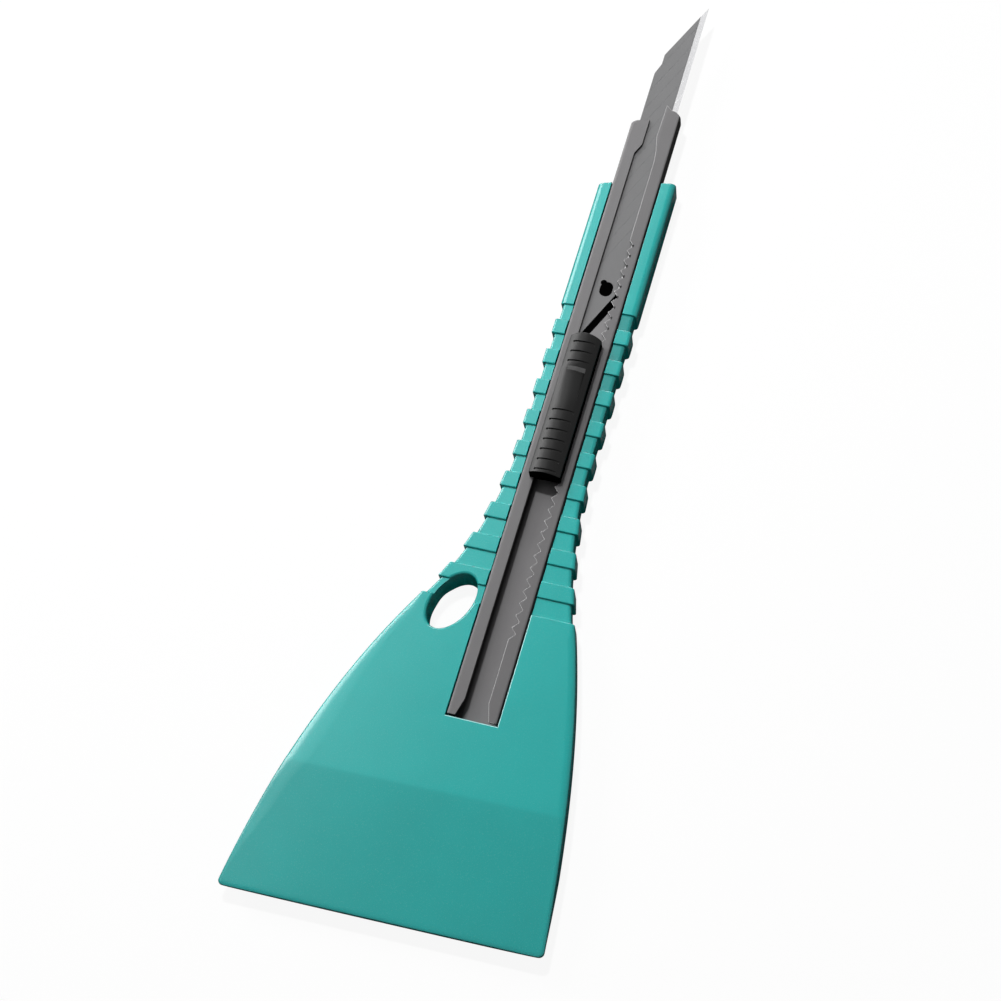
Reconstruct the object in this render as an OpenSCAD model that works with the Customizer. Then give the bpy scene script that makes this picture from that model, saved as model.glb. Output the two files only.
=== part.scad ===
// Blade scraper: a moulded scraper whose handle holds a steel guide with a sliding snap-off blade.
// X runs across the tool, Y along it towards the blade's tip and Z up through its front face.
// The origin is on the flat back, under the middle of the guide's rear end.

/* [Handle] */
// Height of the front face above the flat back
handle_h = 7.5; // [6.8:0.1:9]
// Half width of the straight grip on the left, over its raised bands
grip_left_w = 9.7; // [9:0.05:12]
// Half width of the straight grip on the right, over its raised bands
grip_right_w = 10.05; // [9:0.05:12]
// Middle of the nose's end, measured from the guide's rear end
nose_y = 151.6; // [148:0.1:156]
// Slant of the nose's end, as rise for each mm across
nose_slant = 0.18; // [0:0.01:0.25]
// Rounding along the nose's front edges
nose_round = 1.2; // [0.4:0.1:1.6]
// Rounding along the front edges of bands and hollows
band_round = 0.45; // [0.2:0.05:0.6]
// Rounding along the grip's back edges
back_round = 1.4; // [1:0.1:2.5]
// Where the left side begins to flare
left_flare_y = 76; // [70:1:85]
// Where the right side begins to flare
right_flare_y = 70; // [65:1:85]

/* [Grip bands] */
// Raised bands between the nose and the scraper
band_count = 9; // [6:1:9]
// Distance from one band to the next
band_pitch = 8.8; // [8:0.1:9.2]
// Length of a raised band
band_len = 4.1; // [3:0.1:5]
// Lower edge of the band nearest the nose
first_band_y = 103.6; // [100:0.1:108]
// Step from a band down to the hollow beside it, on the front and the back
band_rise = 0.65; // [0.3:0.05:0.9]
// Step from a band in to the hollow beside it, on the sides
band_step = 0.8; // [0.4:0.05:1.2]

/* [Scraper] */
// Left half width at the shoulder
left_shoulder_w = 20.6; // [18:0.1:23]
// Right half width at the shoulder
right_shoulder_w = 16.75; // [15:0.05:20]
// Left half width at the scraping edge
left_edge_w = 45.4; // [38:0.1:50]
// Right half width at the scraping edge
right_edge_w = 30.15; // [26:0.05:36]
// Middle of the scraping edge, behind the guide's rear end
edge_y = -48.5; // [-55:0.5:-42]
// Middle of the crease where the front face starts to fall to the edge
crease_y = -17.7; // [-24:0.1:-12]
// Slant of the crease and the edge, as rise for each mm across
edge_slant = 0.03; // [0:0.005:0.05]
// Fall of the front face from the crease to the edge
edge_fall = 2.2; // [1:0.1:3]
// Thickness of the scraping edge
edge_t = 1.8; // [1:0.1:2]
// Where the flat back ends and starts to rise to the edge
back_flat_y = -30; // [-36:0.5:-6]
// Half width of the flat back under the scraper
back_flat_half_w = 10; // [8:0.5:11]
// Rounding across the scraper's front side edges
side_round = 1.6; // [0.8:0.1:2.2]
// How much wider every front edge's rounding is on the right side
right_soft = 0.4; // [0:0.05:0.8]
// Rounding at the corners of the scraping edge
corner_round = 1; // [0.5:0.1:2]

/* [Hanging hole] */
// Middle of the hole across the tool
hole_x = -13; // [-14:0.1:-12.5]
// Middle of the hole along the tool
hole_y = 27.7; // [25:0.1:29]
// Long axis of the oval hole
hole_len = 15.6; // [12:0.1:17]
// Short axis of the oval hole
hole_w = 9.4; // [7:0.1:10]
// Lean of the hole's long axis to the right
hole_lean = 22; // [15:1:25]

/* [Guide] */
// Width of the folded guide
guide_w = 12.3; // [12:0.1:13]
// Height of the folded guide
guide_h = 4; // [3.8:0.1:4.4]
// Sheet the guide is folded from
guide_t = 0.6; // [0.5:0.05:0.65]
// Outer radius of the guide's folds
guide_bend = 0.7; // [0.65:0.05:0.9]
// Gap between the guide and its seat in the handle
guide_gap = 0.15; // [0.05:0.05:0.25]
// Gap behind the guide in its seat
guide_end_gap = 0.6; // [0.3:0.1:1]
// Slot edge left of the middle
slot_left = 2.85; // [2.6:0.05:3]
// Slot edge right of the middle, over the tips of the teeth
slot_right = 2.75; // [2.6:0.05:2.9]
// Slot edge left of the middle, in the narrow nose
nose_slot_left = 1.55; // [1.2:0.05:2]
// Slot edge right of the middle, in the narrow nose
nose_slot_right = 1.5; // [1.2:0.05:2]
// Where the slot has become narrow
nose_slot_y = 163.4; // [160:0.1:165]
// Shoulder of the guide's nose on the left
guide_nose_left_y = 168.6; // [167:0.1:170]
// Shoulder of the guide's nose on the right
guide_nose_right_y = 172.6; // [171:0.1:174]
// Rounding of the guide's nose on the left
nose_left_r = 2.3; // [1.5:0.1:2.6]
// Rounding of the guide's nose on the right
nose_right_r = 2.9; // [2:0.1:3.2]
// Rise from the right shoulder to the tip of the guide
nose_rise = 4.6; // [4:0.1:5]

/* [Teeth] */
// Notches along the right lip
tooth_count = 36; // [32:1:36]
// Distance from one notch to the next
tooth_pitch = 3.13; // [3:0.01:3.16]
// Root of the rearmost notch
first_notch_y = 22.8; // [21:0.1:23.5]
// Depth of a notch
tooth_depth = 1.2; // [0.9:0.05:1.3]
// Notch that holds the slide at rest, counted from the rear
rest_notch = 18; // [17:1:19]

/* [Blade] */
// Width from the spine to the cutting edge
blade_w = 9; // [8.8:0.1:9.2]
// Thickness
blade_t = 0.4; // [0.35:0.05:0.5]
// Width of the ground bevel
bevel_w = 1.4; // [1:0.1:1.8]
// Place of the cutting edge to the right of the middle
edge_x = 4.8; // [4.6:0.1:5]
// Length of the cutting edge from the tip to the tail
blade_edge_len = 89.7; // [70:0.1:100]
// Lean of the tip, the tail and the score lines from the blade's length
blade_lean = 23.9; // [22:0.1:26]
// Distance along the spine from one score line to the next
score_pitch = 6.4; // [6:0.1:7]
// Step at the spine where the last worn segment came off
snap_step = 1.15; // [0.6:0.05:1.5]
// Length of that step
snap_step_len = 3.1; // [2:0.1:4]
// Score lines across the blade
score_count = 11; // [8:1:11]
// Depth of a score line
score_depth = 0.08; // [0.04:0.01:0.12]
// Width of a score line
score_w = 0.12; // [0.08:0.01:0.2]
// Hole in the tail, across the blade
tail_hole_w = 3.3; // [3:0.1:3.6]
// Hole in the tail, along the blade
tail_hole_len = 4.3; // [3.8:0.1:4.6]
// Distance from the tail's end at the cutting edge back to the middle of the tail hole
tail_hole_inset = 2.6; // [2.4:0.1:3]
// Gap between the blade and the lips over it
blade_gap = 0.05; // [0.02:0.01:0.1]

/* [Slide] */
// Width of the thumb slide
slide_w = 7.8; // [7:0.1:8.2]
// Length of the thumb slide
slide_len = 39.7; // [38:0.1:41]
// Distance from the slide's rear end to the notch that holds it
pawl_inset = 16.04; // [15:0.01:17]
// Height of the slide's sides above the lips
slide_side_h = 2.7; // [2.2:0.1:3]
// Height of the slide's crown above the lips
slide_top_h = 3.9; // [3.4:0.1:4.4]
// Bow of the slide's front end
slide_bow = 0.8; // [0.4:0.1:1.2]
// Grooves behind the thumb rest
rear_grooves = 7; // [5:1:7]
// Grooves in front of the thumb rest
front_grooves = 3; // [2:1:3]
// Distance from one groove to the next
groove_pitch = 2.77; // [2.6:0.01:2.9]
// Width of a groove
groove_w = 0.45; // [0.3:0.05:0.6]
// Depth of a groove
groove_depth = 0.35; // [0.2:0.05:0.5]
// Length of a groove across the slide
groove_len = 5.4; // [4:0.1:6]
// Distance from the slide's front end back to the thumb rest
rest_inset = 9.7; // [8.8:0.1:10.5]
// Length of the thumb rest
rest_len = 10; // [8:0.5:11]
// Depth of the thumb rest at its front wall
rest_depth = 0.9; // [0.5:0.1:1.2]
// Width of the thumb rest
rest_w = 4.7; // [4:0.1:5.2]
// Running gap between the slide and the lips
slide_gap = 0.05; // [0.02:0.01:0.1]

/* [Carrier] */
// Running gap round the carrier inside the guide
carrier_gap = 0.06; // [0.02:0.01:0.1]
// Rear end of the carrier, in front of the slide's rear end
carrier_inset = 1.4; // [1:0.1:3]
// Distance from the slide's front end to the middle of the stud
stud_reach = 16; // [15:0.1:20]
// Gap between the carrier's block and the blade's tail
tail_gap = 1.7; // [0.5:0.1:2.5]
// Width of the arm under the blade
arm_w = 7.2; // [4:0.1:7.4]
// Radius of the arm's head under the tail hole
arm_head_r = 2.6; // [2.3:0.1:2.7]
// Gap all round the stud in the tail hole
stud_gap = 0.1; // [0.05:0.05:0.3]
// Radius of the pegs that join the slide to the carrier
peg_r = 1.1; // [0.8:0.1:1.2]
// Distance from the rear peg to the spring's rear end
rear_peg_inset = 3.5; // [2:0.1:4.5]
// Distance from the front peg to the spring's front end
front_peg_inset = 1.5; // [1.2:0.1:3]
// Gap round the pegs and beside the spring's ends
fit_gap = 0.03; // [0.01:0.01:0.06]
// Gap between the blade's tail and the slanted end of the steel plate behind it
plate_gap = 1.9; // [1:0.1:2.5]
// Length of the plate's seat on the carrier, back from the carrier's front end
plate_seat = 6.9; // [5:0.1:7.4]

/* [Lock spring] */
// Thickness of the spring's strip
spring_t = 0.3; // [0.2:0.05:0.35]
// Height of the spring's strip
spring_h = 1.8; // [1.5:0.1:1.9]
// Place of the spring to the right of the middle
spring_x = 1.5; // [1.4:0.05:1.7]
// Room to the left of the spring for the pawl's bend
pocket_room = 0.9; // [0.7:0.05:1.1]
// Seat of either end of the spring
spring_seat = 1.5; // [1:0.1:2]
// Distance from the pawl's tip to either end of the spring
spring_reach = 12.5; // [11:0.5:13]
// Half the length of the bent pawl
pawl_reach = 2; // [1.8:0.1:2.1]
// Gap between the pawl's tip and the root of its notch
pawl_gap = 0.15; // [0.1:0.05:0.3]

/* [Hidden] */
$fn = 48;
over = 1;
hair = 0.01;

// Heights inside the guide, from the flat back up
guide_z = handle_h - guide_h;
floor_z = guide_z + guide_t;
lip_z = handle_h - guide_t;
blade_z = lip_z - blade_gap - blade_t;
inner_half_w = guide_w / 2 - guide_t;
seat_half_w = guide_w / 2 + guide_gap;

// Lengths along the guide
rest_y = first_notch_y + rest_notch * tooth_pitch;
guide_tip_y = guide_nose_right_y + nose_rise;
guide_rear_y = guide_end_gap;
notch_half = tooth_pitch / 2;

// Places on the blade
blade_left = edge_x - blade_w;
slide_y = rest_y - pawl_inset;
lean = 1 / tan(blade_lean);
stud_x = 0.45;
stud_y = slide_y + slide_len + stud_reach;
tail_y = stud_y + tail_hole_inset;
tail_corner_y = tail_y - blade_w * lean;
blade_tip_y = tail_y + blade_edge_len;
notch_top_y = blade_tip_y - (blade_w - snap_step) * lean;
lobe_r = 0.8;

// Places on the slide, the carrier and the spring
neck_inset = 0.4;
pocket_clear = 0.3;
rear_groove_inset = 0.8;
front_groove_inset = 2.7;
rest_ramp = 1;
stud_sink = 0.1;
slide_z = handle_h + slide_gap;
slide_front_y = slide_y + slide_len;
slide_crown_r = (pow(slide_w / 2, 2) + pow(slide_top_h - slide_side_h, 2)) / (2 * (slide_top_h - slide_side_h));
slide_bow_r = (pow(slide_w / 2, 2) + pow(slide_bow, 2)) / (2 * slide_bow);
rest_front_y = slide_front_y - rest_inset;
rest_rear_y = rest_front_y - rest_len;
carrier_rear_y = slide_y + carrier_inset;
carrier_front_y = tail_corner_y - tail_gap;
carrier_z = floor_z + carrier_gap;
carrier_top_z = lip_z - carrier_gap;
carrier_half_w = inner_half_w - carrier_gap;
plate_rear_y = carrier_front_y - plate_seat;
plate_back = plate_gap / sin(blade_lean);
neck_left = slot_left - carrier_gap;
neck_right = slot_right - carrier_gap;
neck_front_y = carrier_front_y - neck_inset;
spring_z = lip_z + guide_t - slide_gap - spring_h;
pawl_tip_x = slot_right + tooth_depth - pawl_gap;
pocket_left = spring_x - pocket_room;
pocket_right = slot_right + tooth_depth + pocket_clear;

// Where the moulding's section changes from the grip's to the scraper's
spread_top_y = 60;
spread_low_y = 15;

// Outward slopes of the two sides at the shoulder and at the scraping edge
left_shoulder_slope = -0.57;
left_edge_slope = -0.14;
right_shoulder_slope = -0.31;
right_edge_slope = -0.08;

// Where the front edge rounding grows below the shoulder and shrinks again at the crease
shoulder_fade = 5;
crease_fade_top = 4;
crease_fade_low = 6;
plate_round = 0.3;
plate_round_more = 0.4;

// Lanced tab that locks the guide in the handle
tab_y = 140;
tab_w = 4;
tab_len = 5;
tab_drop = 1.2;

// Cubic from y0 to y1 through widths x0 and x1 with side slopes s0 and s1
function blend(y, y0, x0, s0, y1, x1, s1) =
    let (t = (y - y0) / (y1 - y0), d = y1 - y0)
    x0 * (2 * t * t * t - 3 * t * t + 1) + x1 * (3 * t * t - 2 * t * t * t)
    + s0 * d * (t * t * t - 2 * t * t + t) + s1 * d * (t * t * t - t * t);

// Smooth step from 0 at y0 to 1 at y1
function ease(y, y0, y1) =
    let (t = min(1, max(0, (y - y0) / (y1 - y0))))
    t * t * (3 - 2 * t);

shoulder_y = first_band_y - (band_count - 1) * band_pitch - band_pitch + band_len;

// Half width of one side at y: straight grip, flare, then the scraper's side
function side(y, grip_w, flare_y, shoulder_w, shoulder_slope, edge_w, edge_slope) =
    y >= flare_y ? grip_w
    : y >= shoulder_y ? blend(y, flare_y, grip_w, 0, shoulder_y, shoulder_w, shoulder_slope)
    : blend(y, shoulder_y, shoulder_w, shoulder_slope, edge_y, edge_w, edge_slope);
function left_w(y) =
    side(y, grip_left_w, left_flare_y, left_shoulder_w, left_shoulder_slope, left_edge_w, left_edge_slope);
function right_w(y) =
    side(y, grip_right_w, right_flare_y, right_shoulder_w, right_shoulder_slope, right_edge_w, right_edge_slope);

// Heights of the front face and the back at y
function face_z(y) = handle_h - edge_fall * max(0, (crease_y - y) / (crease_y - edge_y));
function back_z(y) = (handle_h - edge_fall - edge_t) * max(0, (back_flat_y - y) / (back_flat_y - edge_y));

// Corner of a section: an elliptical quarter round the centre, starting at angle a0
function quarter(cx, cz, rx, rz, a0, steps) =
    [for (i = [0:steps]) let (a = a0 + 90 * i / steps) [cx + rx * cos(a), cz + rz * sin(a)]];

// Cross-section of the moulding at y, drawn in by step_in at the sides and drop on the two faces
function section(y, step_in, drop, front_rx, front_rz) =
    let (xl = -left_w(y) + step_in,
         xr = right_w(y) - step_in,
         zf = face_z(y) - drop,
         zb = back_z(y) + drop,
         wide = ease(y, spread_top_y, spread_low_y),
         tall = min(back_round, (zf - zb) * 0.55),
         right_rx = front_rx + right_soft,
         right_rz = front_rz + right_soft / 2,
         back_l = back_round + wide * (-xl - back_flat_half_w - back_round),
         back_r = back_round + wide * (xr - back_flat_half_w - back_round))
    concat(quarter(xr - right_rx, zf - right_rz, right_rx, right_rz, 0, 3),
           quarter(xl + front_rx, zf - front_rz, front_rx, front_rz, 90, 3),
           quarter(xl + back_l, zb + tall, back_l, tall, 180, 5),
           quarter(xr - back_r, zb + tall, back_r, tall, 270, 5));

// Ring of 3-D points: a section set at y, slanted across the tool
function ring(y, slant, step_in, drop, front_rx, front_rz) =
    [for (p = section(y, step_in, drop, front_rx, front_rz)) [p[0], y + slant * p[0], p[1]]];

function band_ring(y) = ring(y, 0, 0, 0, band_round, band_round);
function hollow_ring(y) = ring(y, 0, band_step, band_rise, band_round, band_round);
function band_y(i) = first_band_y - i * band_pitch;

// Front edge rounding of the scraper: wide on the flat face, narrow on the slope below the crease
function plate_ring(y, slant, draw_in) =
    let (fade = ease(y, crease_y - crease_fade_low, crease_y + crease_fade_top),
         top = ease(y, shoulder_y, shoulder_y - shoulder_fade))
    ring(y, slant, draw_in, draw_in * 0.2, band_round + fade * top * (side_round - band_round),
         min(plate_round + plate_round_more * fade, edge_t * 0.45));

plate_steps = 6;
slope_steps = 4;
nose_end_r = 0.5;

// Rings of the whole moulding, from the nose to the scraping edge
function body_rings() = concat(
    [for (a = [0:30:90])
        ring(nose_y - nose_end_r * (1 - cos(a)), nose_slant, nose_end_r * (1 - sin(a)),
             nose_end_r * (1 - sin(a)), nose_round, nose_round)],
    [ring(band_y(-1), 0, 0, 0, nose_round, nose_round)],
    [for (i = [0:band_count - 1]) each [
        hollow_ring(band_y(i - 1)), hollow_ring(band_y(i) + band_len),
        band_ring(band_y(i) + band_len), band_ring(band_y(i))]],
    [hollow_ring(band_y(band_count - 1)), hollow_ring(shoulder_y)],
    [for (i = [0:plate_steps])
        plate_ring(shoulder_y + (crease_y - shoulder_y) * i / plate_steps, edge_slant * i / plate_steps, 0)],
    [for (i = [1:slope_steps])
        plate_ring(crease_y + (edge_y + corner_round - crease_y) * i / slope_steps, edge_slant, 0)],
    [for (a = [30:30:90])
        plate_ring(edge_y + corner_round * (1 - sin(a)), edge_slant, corner_round * (1 - cos(a)))]);

// Closed skin over a list of rings with equal numbers of points
module skin(rings) {
    n = len(rings[0]);
    m = len(rings);
    polyhedron(
        points = [for (r = rings) each r],
        faces = concat(
            [[for (j = [0:n - 1]) j]],
            [for (i = [0:m - 2], j = [0:n - 1]) let (k = (j + 1) % n)
                each [[i * n + j, (i + 1) * n + k, i * n + k], [i * n + j, (i + 1) * n + j, (i + 1) * n + k]]],
            [[for (j = [n - 1:-1:0]) (m - 1) * n + j]]),
        convexity = 10);
}

// Prism along Y from y0 to y1 over an outline drawn in X and Z
module along_y(y0, y1) {
    translate([0, y1, 0]) rotate([90, 0, 0]) linear_extrude(height = y1 - y0) children();
}

// Box between two corners
module box(low, high) {
    translate(low) cube(high - low);
}

// Oval through the plan, long axis along Y
module oval_prism(w, l, z0, z1) {
    translate([0, (l - w) / 2, z0]) cylinder(d = w, h = z1 - z0);
    translate([0, (w - l) / 2, z0]) cylinder(d = w, h = z1 - z0);
    box([-w / 2, (w - l) / 2, z0], [w / 2, (l - w) / 2, z1]);
}

// Hanging hole: an ellipse through the whole thickness
module hanging_hole() {
    points = [for (a = [0:10:350]) [hole_w / 2 * cos(a), hole_len / 2 * sin(a)]];
    translate([hole_x, hole_y, -over])
        rotate([0, 0, -hole_lean])
            linear_extrude(height = handle_h + 2 * over) polygon(points);
}

module scraper_body() {
    color([0.25, 0.72, 0.7])
    difference() {
        skin(body_rings());
        box([-seat_half_w, 0, guide_z], [seat_half_w, nose_y + 2 * grip_right_w, handle_h + over]);
        box([-tab_w / 2 - guide_gap, tab_y - guide_gap, guide_z - tab_drop - guide_gap],
            [tab_w / 2 + guide_gap, tab_y + tab_len + guide_gap, guide_z + over]);
        hanging_hole();
    }
}

// Rounded rectangle drawn from its centre line at the bottom
module rounded_box_outline(w, h, r) {
    translate([-w / 2 + r, 0]) square([w - 2 * r, h]);
    translate([-w / 2, r]) square([w, h - 2 * r]);
    for (x = [-1, 1], z = [r, h - r]) translate([x * (w / 2 - r), z]) circle(r);
}

// Outline of the guide in plan, with the shaped nose
guide_outline = concat(
    [[-guide_w, guide_rear_y], [guide_w, guide_rear_y], [guide_w, guide_nose_right_y - nose_right_r]],
    [for (p = quarter(guide_w / 2 - nose_right_r, guide_nose_right_y, nose_right_r, nose_right_r, 0, 6)) p],
    [[nose_slot_right, guide_tip_y], [-nose_slot_left, guide_nose_left_y + nose_left_r + nose_rise / 8]],
    [for (p = quarter(-guide_w / 2 + nose_left_r, guide_nose_left_y, nose_left_r, nose_left_r, 90, 6)) p],
    [[-guide_w, guide_nose_left_y - nose_left_r]]);

// Lead-in at the slot's rear end
lead_len = 4.4;
lead_step = 1.2;

// Taper into the nose: a short step on the left, a long bend on the right
left_taper_len = 3;
right_taper_top = 3.2;
right_taper_mid = 1.7;
right_taper_low = 5;
right_taper_dent = 0.3;
tip_flare = 0.25;

// Flats of a tooth: half the width at a notch's root, and a notch's mouth as a share of its pitch
root_half = 0.12;
mouth_share = 0.94;

// Outline of the slot between the lips, with its lead-in, teeth and narrow nose
slot_outline = concat(
    [[-slot_left - lead_step, -over], [-slot_left - lead_step, guide_rear_y],
     [-slot_left, guide_rear_y + lead_len], [-slot_left, nose_slot_y - left_taper_len],
     [-nose_slot_left, nose_slot_y], [-nose_slot_left, guide_tip_y + over],
     [nose_slot_right + tip_flare, guide_tip_y + over], [nose_slot_right, nose_slot_y + right_taper_top],
     [slot_right - right_taper_dent, nose_slot_y - right_taper_mid], [slot_right, nose_slot_y - right_taper_low]],
    [for (i = [tooth_count - 1:-1:0]) let (y = first_notch_y + i * tooth_pitch)
        each [[slot_right, y + notch_half * mouth_share], [slot_right + tooth_depth, y + root_half],
              [slot_right + tooth_depth, y - root_half], [slot_right, y - notch_half * mouth_share]]],
    [[slot_right, guide_rear_y + lead_len], [slot_right + lead_step, guide_rear_y],
     [slot_right + lead_step, -over]]);

module blade_guide() {
    color([0.49, 0.48, 0.49])
    union() {
        difference() {
            intersection() {
                along_y(0, guide_tip_y + over)
                    translate([0, guide_z]) difference() {
                        rounded_box_outline(guide_w, guide_h, guide_bend);
                        translate([0, guide_t])
                            rounded_box_outline(guide_w - 2 * guide_t, guide_h - 2 * guide_t, guide_bend - guide_t);
                    }
                translate([0, 0, guide_z - over])
                    linear_extrude(height = guide_h + 2 * over) polygon(guide_outline);
            }
            translate([0, 0, lip_z - 2 * guide_t]) linear_extrude(height = 3 * guide_t + over) polygon(slot_outline);
            box([-tab_w / 2, tab_y, guide_z - over], [tab_w / 2, tab_y + tab_len, floor_z + hair]);
        }
        box([-tab_w / 2, tab_y, guide_z - tab_drop], [tab_w / 2, tab_y + guide_t, floor_z]);
    }
}

module snap_blade() {
    half_t = blade_t / 2;
    mid_z = blade_z + half_t;
    outline = [
        [edge_x, blade_tip_y], [blade_left + snap_step, notch_top_y],
        [blade_left + snap_step, notch_top_y - snap_step_len], [blade_left, notch_top_y - score_pitch],
        [blade_left, tail_corner_y], [edge_x, tail_y]];
    color([0.72, 0.72, 0.73])
    difference() {
        intersection() {
            along_y(tail_corner_y - over, blade_tip_y + over)
                translate([0, mid_z])
                    polygon([[blade_left, -half_t], [edge_x - bevel_w, -half_t], [edge_x, -hair],
                             [edge_x, hair], [edge_x - bevel_w, half_t], [blade_left, half_t]]);
            translate([0, 0, blade_z - over]) linear_extrude(height = blade_t + 2 * over) polygon(outline);
        }
        translate([stud_x, stud_y, 0]) oval_prism(tail_hole_w, tail_hole_len, blade_z - over, lip_z);
        translate([stud_x - tail_hole_w / 3, stud_y + tail_hole_len * 0.42, blade_z - over])
            cylinder(r = lobe_r, h = blade_t + 2 * over);
        for (i = [0:score_count - 1])
            translate([blade_left, notch_top_y - score_pitch * (i + 1), blade_z + blade_t - score_depth])
                rotate([0, 0, -blade_lean])
                    translate([-score_w / 2, -over, 0]) cube([score_w, blade_w * 3, blade_t]);
    }
}

// Steel plate clamped on the carrier's front end, its slanted end along the blade's tail
module tail_plate() {
    function front_y(x) = tail_corner_y + (x - blade_left) * lean - plate_back;
    color([0.49, 0.48, 0.49])
    translate([0, 0, blade_z]) linear_extrude(height = carrier_top_z - blade_z)
        polygon([[-carrier_half_w, plate_rear_y], [carrier_half_w, plate_rear_y],
                 [carrier_half_w, front_y(carrier_half_w)], [-carrier_half_w, front_y(-carrier_half_w)]]);
}

// Crowned cross-section of the slide, drawn in by less all round
module slide_outline(less) {
    intersection() {
        translate([-slide_w / 2 + less, 0]) square([slide_w - 2 * less, slide_top_h - less]);
        translate([0, slide_top_h - slide_crown_r]) circle(slide_crown_r - less, $fn = 96);
    }
}

// Plan of the slide, with its bowed front end
module slide_plan() {
    intersection() {
        translate([-slide_w / 2, slide_y]) square([slide_w, slide_len]);
        translate([0, slide_front_y - slide_bow_r]) circle(slide_bow_r, $fn = 96);
    }
    translate([-slide_w / 2, slide_y]) square([slide_w, slide_len - slide_bow_r + hair]);
}

// Groove across the slide, of even depth under the crown
module groove(y) {
    difference() {
        box([-groove_len / 2, y - groove_w / 2, slide_z + slide_side_h - groove_depth],
            [groove_len / 2, y + groove_w / 2, slide_z + slide_top_h + over]);
        along_y(y - groove_w, y + groove_w) translate([0, slide_z]) slide_outline(groove_depth);
    }
}

// Shallow thumb rest, deepest at its front wall
module thumb_rest() {
    top = slide_z + slide_top_h;
    translate([-rest_w / 2, 0, 0]) rotate([90, 0, 90]) linear_extrude(height = rest_w)
        polygon([[rest_rear_y, top], [rest_front_y - rest_ramp, top - rest_depth],
                 [rest_front_y, top], [rest_front_y, top + over], [rest_rear_y, top + over]]);
}

peg_places = [
    [-peg_r, rest_y - spring_reach + rear_peg_inset],
    [-peg_r, rest_y + spring_reach - front_peg_inset]];

module thumb_slide() {
    color([0.13, 0.13, 0.14])
    difference() {
        union() {
            intersection() {
                along_y(slide_y, slide_front_y) translate([0, slide_z]) slide_outline(0);
                translate([0, 0, slide_z]) linear_extrude(height = slide_top_h) slide_plan();
            }
            box([-neck_left, carrier_rear_y, carrier_top_z], [neck_right, neck_front_y, slide_z + hair]);
            for (p = peg_places) translate([p[0], p[1], carrier_z]) cylinder(r = peg_r, h = slide_z - carrier_z);
        }
        box([pocket_left, rest_y - spring_reach - fit_gap, carrier_top_z - hair],
            [slide_w, rest_y + spring_reach + fit_gap, slide_z - hair]);
        for (i = [0:rear_grooves - 1]) groove(slide_y + rear_groove_inset + i * groove_pitch);
        for (i = [0:front_grooves - 1]) groove(slide_front_y - front_groove_inset - i * groove_pitch);
        thumb_rest();
    }
}

module blade_carrier() {
    half_w = carrier_half_w;
    arm_left = blade_left;
    color([0.2, 0.2, 0.21])
    difference() {
        union() {
            box([-half_w, carrier_rear_y, carrier_z], [half_w, carrier_front_y, carrier_top_z]);
            box([arm_left, carrier_front_y - over, carrier_z], [arm_left + arm_w, stud_y, blade_z]);
            translate([stud_x, stud_y, carrier_z]) cylinder(r = arm_head_r, h = blade_z - carrier_z);
            translate([stud_x, stud_y, 0])
                oval_prism(tail_hole_w - 2 * stud_gap, tail_hole_len - 2 * stud_gap,
                           blade_z - hair, blade_z + blade_t - stud_sink);
        }
        box([-guide_w, plate_rear_y - fit_gap, blade_z], [guide_w, carrier_front_y + over, lip_z]);
        box([pocket_left, rest_y - spring_reach + spring_seat, spring_z - fit_gap],
            [pocket_right, rest_y + spring_reach - spring_seat, lip_z]);
        box([spring_x - fit_gap, rest_y - spring_reach - fit_gap, spring_z - fit_gap],
            [spring_x + spring_t + fit_gap, rest_y + spring_reach + fit_gap, lip_z]);
        for (p = peg_places) translate([p[0], p[1], carrier_z - over])
            cylinder(r = peg_r + fit_gap, h = guide_h);
    }
}

// Upright strip from a to b, rounded at both ends
module strip(a, b) {
    run = b - a;
    translate([a[0], a[1], spring_z]) {
        rotate([0, 0, atan2(run[1], run[0])]) translate([0, -spring_t / 2, 0]) cube([norm(run), spring_t, spring_h]);
        cylinder(d = spring_t, h = spring_h, $fn = 24);
    }
    translate([b[0], b[1], spring_z]) cylinder(d = spring_t, h = spring_h, $fn = 24);
}

module lock_spring() {
    mid_x = spring_x + spring_t / 2;
    bends = [
        [mid_x, rest_y - spring_reach + spring_t / 2], [mid_x, rest_y - pawl_reach],
        [pawl_tip_x - spring_t / 2, rest_y], [mid_x, rest_y + pawl_reach],
        [mid_x, rest_y + spring_reach - spring_t / 2]];
    color([0.62, 0.63, 0.65])
    for (i = [0:len(bends) - 2]) strip(bends[i], bends[i + 1]);
}

scraper_body();
blade_guide();
snap_blade();
tail_plate();
thumb_slide();
blade_carrier();
lock_spring();
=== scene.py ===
"""Dressed scene of the extendable blade scraper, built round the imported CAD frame.

Sizes are in millimetres while a piece is shaped, and a finished piece is in metres.
X runs across the tool, Y along it towards the blade's tip and Z up through its front face.
The origin is on the flat back, under the middle of the guide's rear end.
"""

from __future__ import annotations

import functools
import logging
import math
import operator
from collections.abc import Callable
from dataclasses import dataclass
from enum import Enum

import bmesh
import bpy
from mathutils import Matrix, Vector


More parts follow.
